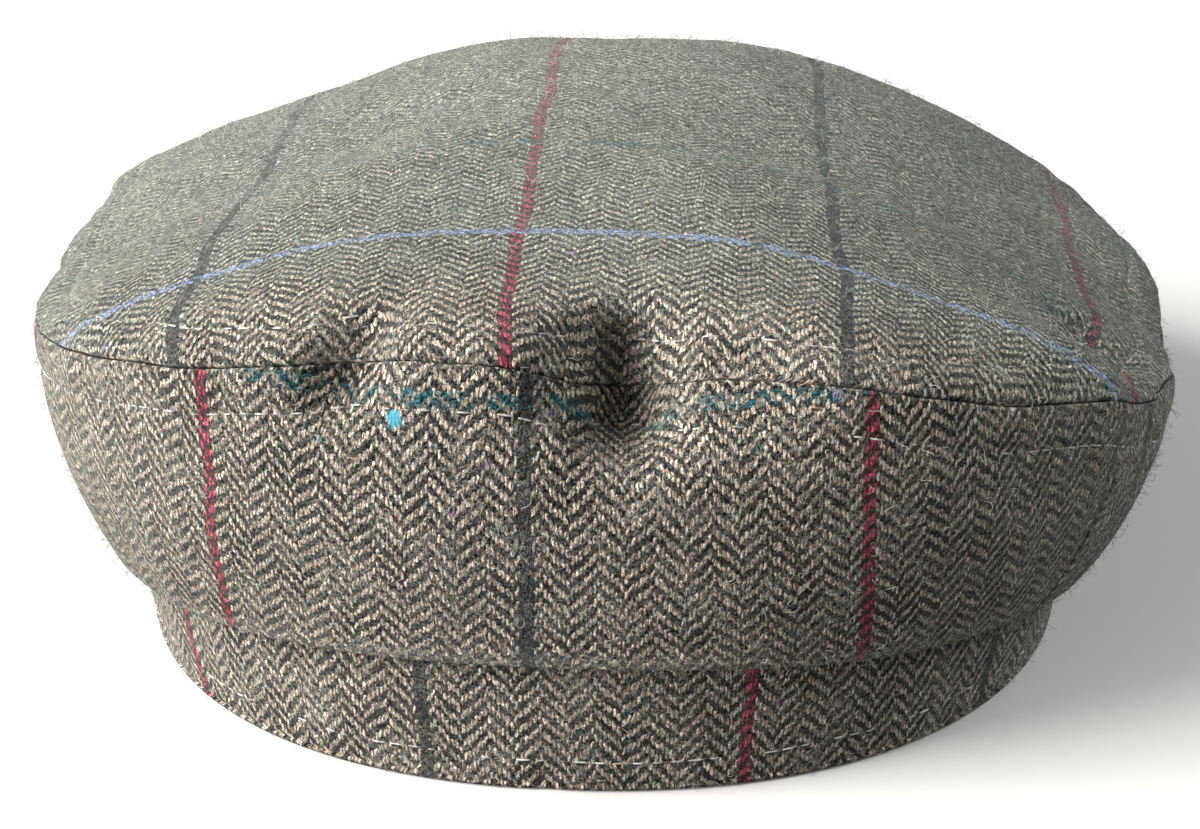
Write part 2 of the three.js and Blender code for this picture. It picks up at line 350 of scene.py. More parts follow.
def pressed(points, hold=1.0):
    result = points.copy()
    for press in PRESSES:
        away = points - press.centre
        along = away @ press.along
        across = np.linalg.norm(away - along[..., None] * press.along, axis=-1)
        share = np.exp(-0.5 * ((along / press.wide) ** 2 + (across / press.tall) ** 2))
        result += (share * hold)[..., None] * press.push
    return result


class Ripples:
    """A smooth, random and repeatable drift of points: a sum of waves in many directions."""

    def __init__(self, seed, shortest, longest, size, waves=36):
        draw = np.random.default_rng(seed)
        lengths = np.exp(draw.uniform(math.log(shortest), math.log(longest), waves))
        self.ways = unit(draw.normal(size=(waves, 3))) * (2 * math.pi / lengths)[:, None]
        self.starts = draw.uniform(0, 2 * math.pi, waves)
        self.pushes = draw.normal(size=(waves, 3)) * size * math.sqrt(2 / waves)

    def __call__(self, points):
        return np.sin(points @ self.ways.T + self.starts) @ self.pushes


def softened(points, hold, settings):
    """Points of the crown after its cloth has relaxed: slow swells and smaller crumples."""
    slow = Ripples(*SLOW_SWELLS, settings.softness / TO_METRES)
    small = Ripples(*SMALL_CRUMPLES, settings.crumple / TO_METRES)
    return points + (slow(points) + small(points)) * np.asarray(hold)[..., None]


def soft_tip(angle, inset, settings):
    angle, inset = np.broadcast_arrays(angle, inset)
    plain = plain_tip(angle, inset)
    from_seam = np.linalg.norm(plain - plain_seam(angle), axis=-1) / BORDER.place
    degrees = (angle / DEGREES) % 360
    share = smooth_step(BORDER.first - BORDER.fade, BORDER.first + BORDER.fade, degrees)
    share *= 1 - smooth_step(BORDER.last - BORDER.fade, BORDER.last + BORDER.fade, degrees)
    swell = BORDER.height * share * from_seam * np.exp(1 - from_seam)
    plain = pressed(plain + (UP * BORDER.up + outwards(angle) * BORDER.out) * swell[..., None])
    return softened(plain, np.ones(plain.shape[:-1]), settings)


def plain_side(angle, rise):
    """From the fold at the band, rise 0, to the seam at the tip, rise 1."""
    angle, rise = np.broadcast_arrays(angle, rise)
    fold, seam = fold_point(angle), plain_seam(angle)
    middle = (fold + seam) / 2
    middle += outwards(angle) * (2 * at_station("fullness", angle))[..., None]
    low, high = ((1 - rise) ** 2)[..., None], (rise ** 2)[..., None]
    return fold * low + middle * (2 * rise * (1 - rise))[..., None] + seam * high


def soft_side(angle, rise, settings):
    angle, rise = np.broadcast_arrays(angle, rise)
    hold = np.minimum(1, 2 * rise)
    return softened(pressed(plain_side(angle, rise), hold), hold, settings)


# ---- Even spacing along curves ----
def lengths_along(points):
    steps = np.linalg.norm(np.diff(points, axis=1), axis=2)
    return np.concatenate([np.zeros((len(points), 1)), np.cumsum(steps, axis=1)], axis=1)


def values_at(lengths, values, wanted):
    """For each column, the values at the wanted distances along it."""
    values = np.broadcast_to(values, lengths.shape)
    return np.array([np.interp(w, own, value) for own, value, w in zip(lengths, values, wanted)])


def even_angles(curve, start, end, count, fine_ends=False):
    """Angles that step evenly along a curve, which its own angle doesn't do at its four sides."""
    dense = np.linspace(start, end, SAMPLES)
    lengths = lengths_along(curve(dense)[None])[0]
    whole = lengths[-1]
    places = np.linspace(0, whole, count + 1)
    if fine_ends:
        edge = NEAR[NEAR < FINE_END]
        inner = np.linspace(FINE_END, whole - FINE_END, count - 2 * len(edge) + 1)
        places = np.concatenate([edge, inner, whole - edge[::-1]])
    return np.interp(places, lengths, dense)


def normals_of(grid, around):
    """Unit normals of a grid of points, columns first. around joins the last column to the first."""
    if around:
        along = np.roll(grid, -1, axis=0) - np.roll(grid, 1, axis=0)
    else:
        along = np.gradient(grid, axis=0)
    return unit(np.cross(along, np.gradient(grid, axis=1)))


# ---- Meshes ----
def sweep(columns, rows, around, through):
    """The corners of the faces of a grid: numbers of its points, and of its cloth places."""
    i = np.arange(columns if around else columns - 1)
    j = np.arange(rows if through else rows - 1)
    i, j = (part.ravel() for part in np.meshgrid(i, j, indexing="ij"))
    wide = rows + through
    steps = ((0, 0), (1, 0), (1, 1), (0, 1))
    faces = [((i + a) % columns) * rows + (j + b) % rows for a, b in steps]
    spots = [(i + a) * wide + j + b for a, b in steps]
    return np.stack(faces, axis=1), np.stack(spots, axis=1)


def volume_of(points, faces):
    total = 0.0
    for face in faces:
        a = points[face[:, 0]]
        for k in range(1, face.shape[1] - 1):
            total += np.einsum("ij,ij->i", a, np.cross(points[face[:, k]], points[face[:, k + 1]])).sum()
    return total


def made_piece(name, points, parts, cloth, material, worn=0.0):
    """A closed mesh object from parts, which are (faces, spots) of equal shape.

    Faces hold the numbers of points, and spots the numbers of places on the cloth, in millimetres.
    worn says for each point how far its cloth is rubbed into fuzz, from 0 to 1.
    """
    if volume_of(points, [faces for faces, _ in parts]) < 0:
        parts = [(faces[:, ::-1], spots[:, ::-1]) for faces, spots in parts]
    mesh = bpy.data.meshes.new(name)
    mesh.from_pydata(in_frame(points), [], [row for faces, _ in parts for row in faces.tolist()])
    corners = np.concatenate([cloth[spots.ravel()] for _, spots in parts])
    mesh.uv_layers.new(name="cloth").data.foreach_set("uv", corners.astype(np.float32).ravel())
    mesh.polygons.foreach_set("use_smooth", np.ones(len(mesh.polygons), bool))
    wear = np.broadcast_to(np.asarray(worn, np.float32), len(points))
    mesh.attributes.new("worn", "FLOAT", "POINT").data.foreach_set("value", wear.copy())
    mesh.materials.append(material)
    mesh.update()
    if mesh.validate():
        raise RuntimeError(f"{name} has faces that can't be used")
    piece = bpy.data.objects.new(name, mesh)
    bpy.context.scene.collection.objects.link(piece)
    return piece


def head_centre():
    low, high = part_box("band")
    return np.array([(low.x + high.x) / 2, (low.y + high.y) / 2, low.z]) / TO_METRES


HEAD = head_centre()


def in_frame(points):
    """Points in the frame, in metres, as plain lists."""
    return ((points + HEAD) * TO_METRES).tolist()


# ---- Settings ----
def length(name, description, default, **options):
    return FloatProperty(name=name, description=description, default=default, min=0.0,
                         unit="LENGTH", precision=5, **options)


def colour(name, description, default):
    return FloatVectorProperty(name=name, description=description, default=default, size=3,
                               min=0.0, max=1.0, subtype="COLOR")


class CapSizes(bpy.types.PropertyGroup):
    """Sizes of the cloth, its seams and its stitches."""

    cloth: length("Cloth", "Thickness of the crown's cloth", 0.0016)
    seam_roll: length("Seam roll", "How deep the cloth rolls into a seam", 0.0008)
    pillow: length("Pillow", "How far the cloth swells between a seam and its stitches", 0.00025)
    furrow: length("Furrow", "How deep a row of stitches draws the cloth in", 0.00022)
    pucker: length("Pucker", "Height of the small gathers along the tip's seam", 0.00014)
    softness: length("Softness", "Height of the slow swells of the crown", 0.0003)
    crumple: length("Crumple", "Height of the smaller crumples of the crown", 0.0001)
    stitch_pitch: length("Stitch pitch", "From one stitch to the next", 0.0032)
    stitch_length: length("Stitch length", "The part of a stitch that lies on top", 0.0016)
    thread: length("Thread", "Thickness of the sewing thread", 0.00034)
    stitch_seed: IntProperty(name="Stitch seed", description="Order of the uneven stitches", default=5)
    fuzz_length: length("Fuzz length", "Length of the loose wool hairs", 0.0019)
    fuzz_width: length("Fuzz width", "Thickness of the loose wool hairs", 0.00007)
    fuzz_density: FloatProperty(
        name="Fuzz density", description="Loose hairs on each square metre", default=95000, min=0)
    fuzz_seed: IntProperty(name="Fuzz seed", description="Places of the hairs", default=3)


class CapCloth(bpy.types.PropertyGroup):
    """Yarns and colours of the tweed."""

    end: length("End", "Width of one warp yarn", 0.000738)
    pick: length("Pick", "Width of one weft yarn", 0.000702)
    warp: colour("Warp", "Light warp yarn", (0.87, 0.735, 0.620))
    warp_dull: colour("Dull warp", "Greyer fibres in the warp", (0.62, 0.59, 0.47))
    warp_brown: colour("Brown warp", "Browner fibres in the warp", (0.58, 0.40, 0.28))
    weft: colour("Weft", "Dark weft yarn", (0.007, 0.009, 0.012))
    weft_green: colour("Green weft", "Greener fibres in the weft", (0.022, 0.035, 0.032))
    weft_plum: colour("Plum weft", "Purpler fibres in the weft", (0.022, 0.013, 0.018))
    haze: colour("Haze", "Felted fibres over the weave", (0.64, 0.60, 0.51))
    haze_cool: colour("Cool haze", "Greyer felted fibres", (0.32, 0.33, 0.30))
    crimson: colour("Crimson", "First warp line", (0.66, 0.105, 0.175))
    fleck: colour("Fleck", "A nep of dyed wool on the back of the sides", (0.11, 0.47, 0.62))
    navy: colour("Navy", "Second warp line", (0.042, 0.038, 0.062))
    periwinkle: colour("Periwinkle", "First weft line", (0.43, 0.51, 0.82))
    teal: colour("Teal", "Second weft line", (0.012, 0.20, 0.25))
    thread: colour("Thread", "Sewing thread", (0.68, 0.67, 0.63))
    fuzz: colour("Fuzz", "Loose wool hairs", (0.66, 0.64, 0.56))
    fuzz_dark: colour("Dark fuzz", "Darker loose hairs", (0.16, 0.17, 0.15))


class CapStage(bpy.types.PropertyGroup):
    """Floor, lamps and camera."""

    floor: colour("Floor", "Colour of the floor", (0.92, 0.90, 0.885))
    floor_size: length("Floor size", "Length of a side of the floor", 9.0)
    sky: colour("Room", "Colour of the light from the room", (0.94, 0.96, 1.0))
    sky_strength: FloatProperty(name="Room light", description="Strength of that light",
                                default=0.16, min=0.0)
    key_power: FloatProperty(name="Main lamp", description="Power of the large lamp at the left",
                             default=240.0, min=0.0, unit="POWER")
    right_power: FloatProperty(name="Right lamp", description="Power of the lamp behind the right",
                               default=48.0, min=0.0, unit="POWER")
    fill_power: FloatProperty(name="Fill lamp", description="Power of the low lamp by the camera",
                              default=46.0, min=0.0, unit="POWER")
    lens: FloatProperty(name="Lens", description="Focal length of the camera", default=96.0,
                        subtype="DISTANCE_CAMERA")


# ---- Node trees ----
def sum_node(operation, turned=False):
    """A method of Wire that makes the node of one sum. turned puts its other value first."""
    def method(self, other):
        return self.graph.math(operation, *((other, self) if turned else (self, other)))
    return method


class Wire:
    """An output in a node tree. A sum written with wires makes the nodes that work it out."""

    def __init__(self, graph, socket):
        self.graph = graph
        self.socket = socket

    __add__, __radd__ = sum_node("ADD"), sum_node("ADD", True)
    __sub__, __rsub__ = sum_node("SUBTRACT"), sum_node("SUBTRACT", True)
    __mul__, __truediv__ = sum_node("MULTIPLY"), sum_node("DIVIDE")
    __mod__ = sum_node("FLOORED_MODULO")
    __lt__, __gt__ = sum_node("LESS_THAN"), sum_node("GREATER_THAN")


class Graph:
    """A short way to write a node tree."""

    def __init__(self, tree):
        self.tree = tree

    def node(self, kind, inputs=None, **settings):
        made = self.tree.nodes.new(kind)
        for key, value in settings.items():
            setattr(made, key, value)
        for key, value in (inputs or {}).items():
            self.feed(made.inputs[key], value)
        return made

    def wire(self, kind, inputs=None, output=0, **settings):
        """One output of a new node."""
        return Wire(self, self.node(kind, inputs, **settings).outputs[output])

    def feed(self, socket, value):
        if isinstance(value, Wire):
            self.tree.links.new(value.socket, socket)
        elif socket.type == "RGBA":
            socket.default_value = (*value[:3], 1.0)
        else:
            socket.default_value = value

    def settle(self, name, values):
        """Feeds the sockets of a node that is there already."""
        sockets = self.tree.nodes[name].inputs
        for label, value in values.items():
            self.feed(sockets[label], value)

    def math(self, operation, *values):
        return self.wire("ShaderNodeMath", dict(enumerate(values)), operation=operation)

    def floor(self, value):
        return self.math("FLOOR", value)

    def largest(self, first, second):
        return self.math("MAXIMUM", first, second)

    def split(self, vector):
        return [Wire(self, part) for part in self.node("ShaderNodeSeparateXYZ", {0: vector}).outputs]

    def scaled(self, vector, factor):
        """A vector or a colour, times a number."""
        return self.wire("ShaderNodeVectorMath", {0: vector, "Scale": factor}, operation="SCALE")

    def vectors(self, operation, first, second, output=0):
        return self.wire("ShaderNodeVectorMath", {0: first, 1: second}, output, operation=operation)

    def mix(self, share, first, second):
        """A mix of two colours."""
        return self.wire("ShaderNodeMix", {0: share, 6: first, 7: second}, 2, data_type="RGBA")

    def blend(self, share, first, second):
        """A mix of two numbers."""
        return self.wire("ShaderNodeMix", {0: share, 2: first, 3: second})

    def vector(self, x, y, z=0.0):
        return self.wire("ShaderNodeCombineXYZ", {0: x, 1: y, 2: z})

    def ramp(self, value, low, high):
        """0 below low and 1 above high, smooth between them."""
        inputs = {"Value": value, "From Min": low, "From Max": high}
        return self.wire("ShaderNodeMapRange", inputs, interpolation_type="SMOOTHSTEP")

    def noise(self, place, scale, detail=2.0, curl=0.0, output=0):
        inputs = {"Vector": place, "Scale": scale, "Detail": detail, "Distortion": curl}
        return self.wire("ShaderNodeTexNoise", inputs, output)

    def noises(self, place, scale, detail):
        """Three noises that don't follow each other."""
        return self.split(self.noise(place, scale, detail, output="Color"))

    def random(self, x, y, z):
        return self.wire("ShaderNodeTexWhiteNoise", {"Vector": self.vector(x, y, z)}, "Value")

    def between(self, limits, seed):
        """A random number for each point of a geometry tree."""
        low, high = limits
        return self.wire("FunctionNodeRandomValue", {2: low, 3: high, 8: seed}, 1, data_type="FLOAT")


def new_tree(name, kind, inputs, outputs):
    """A node group with named sockets: its graph, and the wires that it is given."""
    tree = bpy.data.node_groups.new(name, kind)
    for in_out, sockets in (("INPUT", inputs), ("OUTPUT", outputs)):
        for label, socket in sockets.items():
            tree.interface.new_socket(label, in_out=in_out, socket_type="NodeSocket" + socket)
    g = Graph(tree)
    given = g.node("NodeGroupInput").outputs
    return g, {label: Wire(g, given[label]) for label in inputs}


# ---- Materials ----
def tweed_group(cloth):
    """The weave: a 2/2 herringbone of six-yarn stripes with a windowpane of coloured lines.

    Its input is a place on the cloth in millimetres, warp up. Crimson lines lie at 0 across, with
    navy ones half-way between. Periwinkle lines lie at 0 along, each with a teal one below it.
    """
    g, given = new_tree("Herringbone tweed", "ShaderNodeTree", {"Place": "Vector", "Felting": "Float"},
                        {"Colour": "Color", "Height": "Float", "Roughness": "Float"})
    place, felting = given["Place"], given["Felting"]

    # The cloth is never quite square: slow waves of its yarns, and quick uneven ones.
    slow, quick = g.noises(place, 0.035, 1.0), g.noises(place, 0.75, 2.0)
    spot = g.split(place)

    def moved(axis, slowly, quickly):
        wave = (slow[axis] - 0.5) * slowly
        return spot[axis] + wave + (quick[axis] - 0.5) * (quickly + felting * 1.9)

    across, along = moved(0, 2.6, 0.9), moved(1, 2.6, 1.1)
    ends, picks = across / (cloth.end / TO_METRES), along / (cloth.pick / TO_METRES)
    number, pick_number = g.floor(ends), g.floor(picks)
    part = ends - number

    def drawn(wide, tall, lot, detail=2.0, curl=0.0):
        """Noise that is drawn out along the warp or the weft."""
        return g.noise(g.vector(across * wide, along * tall, lot), 1.0, detail, curl)

    # Single fibres run with each yarn. Pits are the shadows between them.
    fibre = drawn(3.6, 0.8, 0.0)
    strand = g.ramp(fibre, 0.38, 0.60)
    weft_strand = g.ramp(drawn(1.4, 3.4, 9.0), 0.42, 0.66)
    pits = g.ramp(drawn(2.5, 1.3, 5.0), 0.36, 0.50)

    # Which yarn is on top. Stripes of six ends lean one way and then the other.
    in_stripe = number % STRIPE_ENDS
    stripe = g.floor(number / STRIPE_ENDS) % 2.0
    step = g.blend(stripe, in_stripe, 3.0 - in_stripe)
    turned = picks + step + g.random(number, 3.0, 5.0) * 0.7
    float_number = g.floor(turned / TWILL_PICKS)
    phase = turned % TWILL_PICKS

    def domed(square):
        """The height of a round yarn, from the square of the share of the way to its edge."""
        return g.math("SQRT", g.largest(0.0, 1.0 - square))

    # A warp float is a ragged lens a little over two picks long. a runs across it from -1 to 1,
    # and b along it from -2 to 2.
    b = phase - 2.0
    a = (part - 0.5) * 2.0 + b * g.blend(stripe, 0.38, -0.24)
    a = a + (g.random(number, float_number, 4.0) - 0.5) * 0.4
    a2, b2 = a * a, b * b
    rim = a2 * 1.25 + b2 * b2 * 0.40
    warp_mask = 1.0 - g.ramp(rim + (fibre - 0.5) * 2.1, 0.78, 1.12)
    warp_dome = domed(rim)

    # The weft shows as flat ovals, rounded across each pick.
    c = (picks - pick_number - 0.5) * 2.0
    weft_dome = domed(c * c)

    # Colours of the yarns: each float and each pick has its own share of duller fibres.
    mottle = g.noises(place, 1.1, 2.0)
    dull = g.random(number, float_number, 1.0) * 0.75 + g.noise(place, 0.16, 3.0) * 0.9
    warp = g.mix(g.ramp(dull, 0.45, 1.30), cloth.warp, cloth.warp_dull)
    warp = g.mix(g.ramp(mottle[0], 0.45, 0.70), warp, cloth.warp_brown)
    greener = g.random(pick_number, g.floor(ends * 0.5), 2.0) * 0.8 + mottle[1] * 0.6
    weft = g.mix(g.ramp(greener, 0.4, 1.2), cloth.weft, cloth.weft_green)
    weft = g.mix(g.ramp(mottle[2], 0.50, 0.62), weft, cloth.weft_plum)

    def lines(yarn, repeat, widest, kinds):
        """Whether a yarn is in a coloured line, and which kind of line that repeat has."""
        return yarn % float(repeat) < widest, g.floor(yarn / float(repeat)) % kinds

    # Coloured lines are three yarns wide in the warp, crimson and navy in turn, and four in the
    # weft: a periwinkle line, three repeats of plain cloth, and a teal one.
    warp_line, warp_kind = lines(number, TWEED_ENDS, 2.5, 2.0)
    warp = g.mix(warp_line, warp, g.mix(warp_kind, cloth.crimson, cloth.navy))
    weft_line, weft_kind = lines(pick_number, TWEED_PICKS, 3.5, 5.0)
    first, last = weft_kind < 0.5, weft_kind > 3.5
    blue_left = 0.2 + g.ramp(g.noise(place, 0.5, 2.0), 0.40, 0.54) * 0.8
    teal_left = 0.10 + (1.0 - g.ramp(g.noise(place, 0.22, 1.0), 0.42, 0.60)) * 0.55
    weft_shown = weft_line * g.largest(first * blue_left, last * teal_left)
    weft = g.mix(weft_shown, weft, g.mix(last, cloth.periwinkle, cloth.teal))

    # A coloured line shows through the yarns that cross it.
    crimson_line = warp_line * (1.0 - warp_kind)
    warp_mask = g.largest(warp_mask, crimson_line * (0.22 + felting * 0.15))
    warp_mask = warp_mask * (1.0 - weft_shown * 0.72)

    # The warp's tone varies from float to float and fibre to fibre. Each float is also painted lighter along
    # its rounded middle and darker towards its edges: painted shade of the round yarn.
    chance = g.random(number, float_number, 6.0) - 0.48
    brightness = 1.0 + chance * (0.50 + felting * 0.7)
    warp_tone_and_dome_shade = (0.60 + warp_dome * 0.5) * (0.26 + strand) * brightness
    weft_shade = 0.30 + weft_strand * 1.8
    yarns = g.mix(warp_mask, g.scaled(weft, weft_shade), g.scaled(warp, warp_tone_and_dome_shade))

    # Short fibres cross every yarn, some paler and some darker than it.
    grain = g.ramp(g.noise(place, 4.6, 1.0), 0.36, 0.64)
    yarns = g.scaled(yarns, 0.62 + grain * 0.76)

    # Rare bright neps of dyed wool.
    nep_lot = g.random(g.floor(across / 1.3), g.floor(along / 1.6), 7.0)
    nep_hue = (nep_lot * 9973.0) % 1.0
    nep_colour = g.wire("ShaderNodeCombineColor", {0: nep_hue, 1: 0.42, 2: 0.5}, mode="HSV")
    yarns = g.mix((nep_lot > 0.9965) * g.ramp(fibre, 0.42, 0.6), yarns, nep_colour)

    def curling(scale, width, lot):
        """Thin curling lines, 1 along their middles."""
        field = g.noise(g.vectors("ADD", place, (lot, 2.0 * lot, 0.0)), scale, 1.5, 0.9)
        return 1.0 - g.ramp(g.math("ABSOLUTE", field - 0.5), 0.0, width)

    # Felted fibres over the weave, thicker in patches and thinner over the coloured lines.
    patches = g.ramp(g.noise(place, 0.11, 3.0), 0.35, 0.70)
    pale = g.largest(curling(1.15, 0.055, 0.0), curling(1.9, 0.060, 40.0))
    yarns = g.mix(curling(1.4, 0.050, 90.0) * 0.70, yarns, cloth.weft)
    hazed = (0.24 + patches * 0.40) * pale + patches * 0.05 + felting * (0.30 + mottle[2] * 0.5)
    clear = g.largest(crimson_line, weft_shown) * (0.60 - felting * 0.85)
    hazed = hazed * (1.0 - clear) * (1.0 - warp_mask * 0.35)
    cooler = g.ramp(mottle[0] + felting * 0.12, 0.42, 0.64)
    haze = g.mix(cooler, cloth.haze, cloth.haze_cool)
    streaks = g.ramp(drawn(0.9, 2.4, 13.0, 3.0, 0.5), 0.38, 0.62) * 1.5 - 0.75
    coloured = g.mix(hazed, yarns, g.scaled(haze, 1.0 + felting * streaks))
    shadow = (1.0 - pits) * g.blend(warp_mask, 0.90, 0.55) * (1.0 - felting * 0.6)
    coloured = g.scaled(coloured, 1.0 - shadow)

    dome = g.blend(warp_mask, weft_dome * 0.45, 0.35 + warp_dome * 0.65)
    height = dome * 0.7 + fibre * 0.5 + (pale * 0.3 + pits * 0.3)
    rough = 0.86 + mottle[1] * 0.14
    g.node("NodeGroupOutput", {"Colour": coloured, "Height": height, "Roughness": rough})
    return g.tree


def new_material(name):
    """A material, and the graph of its nodes."""
    material = bpy.data.materials.new(name)
    material.use_nodes = True
    return material, Graph(material.node_tree)


def tweed_material(name, group, felted, fleck, painted_sky_tint):
    """Tweed that follows the piece's own cloth map.

    felted gives places between which the cloth grows more felted, as TIP_FELTED does. fleck is the
    place of a bright nep, and the last argument the colour of a painted cool light from above, which
    tints the cloth away from the back, or nothing.
    """
    material, g = new_material(name)
    position = g.wire("ShaderNodeTexCoord", output="Object")
    x, y, _ = g.split(position)
    (x_plain, x_felted), (y_plain, y_felted) = felted
    sideways = g.ramp(g.math("ABSOLUTE", x), x_plain, x_felted)
    lengthways = 1.0 - g.ramp(y, y_felted, y_plain)
    worn = g.wire("ShaderNodeAttribute", output="Fac", attribute_name="worn")
    felting = g.largest(g.largest(sideways, lengthways) * MOST_FELTED, worn)
    place = g.wire("ShaderNodeUVMap", uv_map="cloth")
    weave = g.node("ShaderNodeGroup", {"Place": place, "Felting": felting}, node_tree=group).outputs
    shown, height, roughness = (Wire(g, weave[output]) for output in ("Colour", "Height", "Roughness"))
    if fleck:
        away = g.vectors("DISTANCE", position, fleck, "Value")
        uneven = g.noise(position, FLECK.grain) * FLECK.unevenness
        share = 1.0 - g.ramp(away + uneven, FLECK.inner, FLECK.outer)
        shown = g.mix(share, shown, bpy.context.scene.cap_cloth.fleck)
    # Painted cool light from above: the cloth away from the back is tinted cooler and greener.
    if painted_sky_tint:
        from_back = 1.0 - g.ramp(y, *PAINTED_SKY_FADE)
        shown = g.mix(from_back, shown, g.vectors("MULTIPLY", shown, painted_sky_tint))
    bump = g.wire("ShaderNodeBump", {"Strength": 0.9, "Distance": WEAVE_RELIEF, "Height": height})
    g.settle("Principled BSDF", {
        "Base Color": shown, "Roughness": roughness, "Normal": bump, "Specular IOR Level": 0.06,
        "Sheen Weight": 0.12, "Sheen Roughness": 0.22, "Sheen Tint": (0.95, 0.97, 0.92)})
    return material


def plain_material(name, base, second, scale, roughness):
    """Wool or cotton of nearly one colour, uneven from fibre to fibre."""
    material, g = new_material(name)
    place = g.wire("ShaderNodeTexCoord", output="Object")
    tint = g.mix(g.ramp(g.noise(place, scale), 0.35, 0.65), base, second)
    g.settle("Principled BSDF", {"Base Color": tint, "Roughness": roughness, "Specular IOR Level": 0.3})
    return material


def tweed(name, felted, fleck=None, painted_sky_tint=None):
    group = bpy.data.node_groups.get("Herringbone tweed") or tweed_group(bpy.context.scene.cap_cloth)
    made = bpy.data.materials.get(name)
    return made or tweed_material(name, group, felted, fleck, painted_sky_tint)


def thread_material():
    cloth = bpy.context.scene.cap_cloth
    dull = [0.45 * part for part in cloth.thread]
    name = "sewing thread"
    made = bpy.data.materials.get(name)
    return made or plain_material(name, cloth.thread, dull, scale=900.0, roughness=0.6)


def wool_material():
    cloth = bpy.context.scene.cap_cloth
    name = "loose wool"
    made = bpy.data.materials.get(name)
    return made or plain_material(name, cloth.fuzz, cloth.fuzz_dark, scale=260.0, roughness=0.8)


# ---- Stitches and loose hairs, made with Geometry Nodes ----
def growing_tree(name, numbers):
    """A geometry tree that grows things on a mesh, from these numbers, a seed and a material."""
    inputs = {"Geometry": "Geometry", **dict.fromkeys(numbers, "Float"), "Seed": "Int",
              "Material": "Material"}
    return new_tree(name, "GeometryNodeTree", inputs, {"Geometry": "Geometry"})


def finish_tree(g, instances, material):
    real = g.wire("GeometryNodeRealizeInstances", {"Geometry": instances})
    painted = g.wire("GeometryNodeSetMaterial", {"Geometry": real, "Material": material})
    g.node("NodeGroupOutput", {"Geometry": painted})
    return g.tree


def bent_thread(g, corners, rings, sides, thickness):
    """A short closed tube on a smooth curve through space, as a mesh."""
    start, first, second, end = corners
    curve = g.wire("GeometryNodeCurvePrimitiveBezierSegment", {
        "Resolution": rings, "Start": start, "Start Handle": first, "End Handle": second, "End": end})
    profile = g.wire("GeometryNodeCurvePrimitiveCircle", {"Resolution": sides, "Radius": thickness})
    tube = g.wire("GeometryNodeCurveToMesh", {"Curve": curve, "Profile Curve": profile, "Fill Caps": True})
    return g.wire("GeometryNodeSetShadeSmooth", {0: tube})


def stitching_tree():
    """One stitch after another along the edges of a mesh, whose points say which way is out."""
    g, given = growing_tree("Sewn stitches", ("Pitch", "Length", "Thread", "Lift", "Sinking"))
    seed, thread = given["Seed"], given["Thread"]
    path = g.wire("GeometryNodeMeshToCurve", {"Mesh": given["Geometry"]})
    inputs = {"Curve": path, "Length": given["Pitch"]}
    even = g.wire("GeometryNodeResampleCurve", inputs, mode="LENGTH")
    out = g.wire("GeometryNodeInputNamedAttribute", {"Name": "out"}, data_type="FLOAT_VECTOR")
    height = given["Lift"] - given["Sinking"] * g.between((0.0, 1.0), seed)
    offset = g.scaled(out, height)
    placed = g.wire("GeometryNodeSetPosition", {"Geometry": even, "Offset": offset})
    inputs = {"Primary Axis": g.wire("GeometryNodeInputTangent"), "Secondary Axis": out}
    turn = g.wire("FunctionNodeAxesToRotation", inputs, primary_axis="X", secondary_axis="Z")
    uneven = g.between(STITCH_SIZES, seed + 7.0)
    size = g.vector(given["Length"] * uneven, thread, thread)
    stitch = bent_thread(g, STITCH_BEND, rings=6, sides=6, thickness=0.5)
    stitches = g.wire("GeometryNodeInstanceOnPoints", {
        "Points": placed, "Instance": stitch, "Rotation": turn, "Scale": size})
    return finish_tree(g, stitches, given["Material"])


def fuzz_tree():
    """Loose curled hairs on a surface, turned every way and leaning at random."""
    g, given = growing_tree("Loose hairs", ("Density", "Length", "Width"))
    seed = given["Seed"]
    spread = g.node("GeometryNodeDistributePointsOnFaces", {
        "Mesh": given["Geometry"], "Density": given["Density"], "Seed": seed},
        distribute_method="RANDOM").outputs
    points, rotation = Wire(g, spread["Points"]), Wire(g, spread["Rotation"])
    half_width = given["Width"] / given["Length"] * 0.5
    kinds = g.node("GeometryNodeJoinGeometry")
    for corners in HAIR_CURLS:
        hair = bent_thread(g, corners, rings=5, sides=3, thickness=half_width)
        g.feed(kinds.inputs[0], g.wire("GeometryNodeGeometryToInstance", {0: hair}))
    spin = g.between((0.0, 2 * math.pi), seed + 1.0)
    lean = g.between(HAIR_LEANS, seed + 2.0)
    euler = g.wire("FunctionNodeEulerToRotation", {0: g.vector(0.0, lean, spin)})
    inputs = {"Rotation": rotation, "Rotate By": euler}
    turn = g.wire("FunctionNodeRotateRotation", inputs, rotation_space="LOCAL")
    size = given["Length"] * g.between(HAIR_SIZES, seed + 3.0)
    hairs = g.wire("GeometryNodeInstanceOnPoints", {
        "Points": points, "Instance": Wire(g, kinds.outputs[0]), "Pick Instance": True,
        "Rotation": turn, "Scale": g.vector(size, size, size)})
    return finish_tree(g, hairs, given["Material"])


def grown(name, mesh, tree, values):
    """A piece that a geometry tree makes from a mesh, with its own plain mesh."""
    base = bpy.data.objects.new(name, mesh)
    bpy.context.scene.collection.objects.link(base)
    modifier = base.modifiers.new("growth", "NODES")
    modifier.node_group = tree
    for item in tree.interface.items_tree:
        if item.in_out == "INPUT" and item.name in values:
            modifier[item.identifier] = values[item.name]
    evaluated = base.evaluated_get(bpy.context.evaluated_depsgraph_get())
    result = bpy.data.meshes.new_from_object(evaluated)
    base.modifiers.remove(modifier)
    if not result.polygons:
        raise RuntimeError(f"{name} came out empty")
    base.data = result
    result.name = name
    bpy.data.meshes.remove(mesh)
    return base


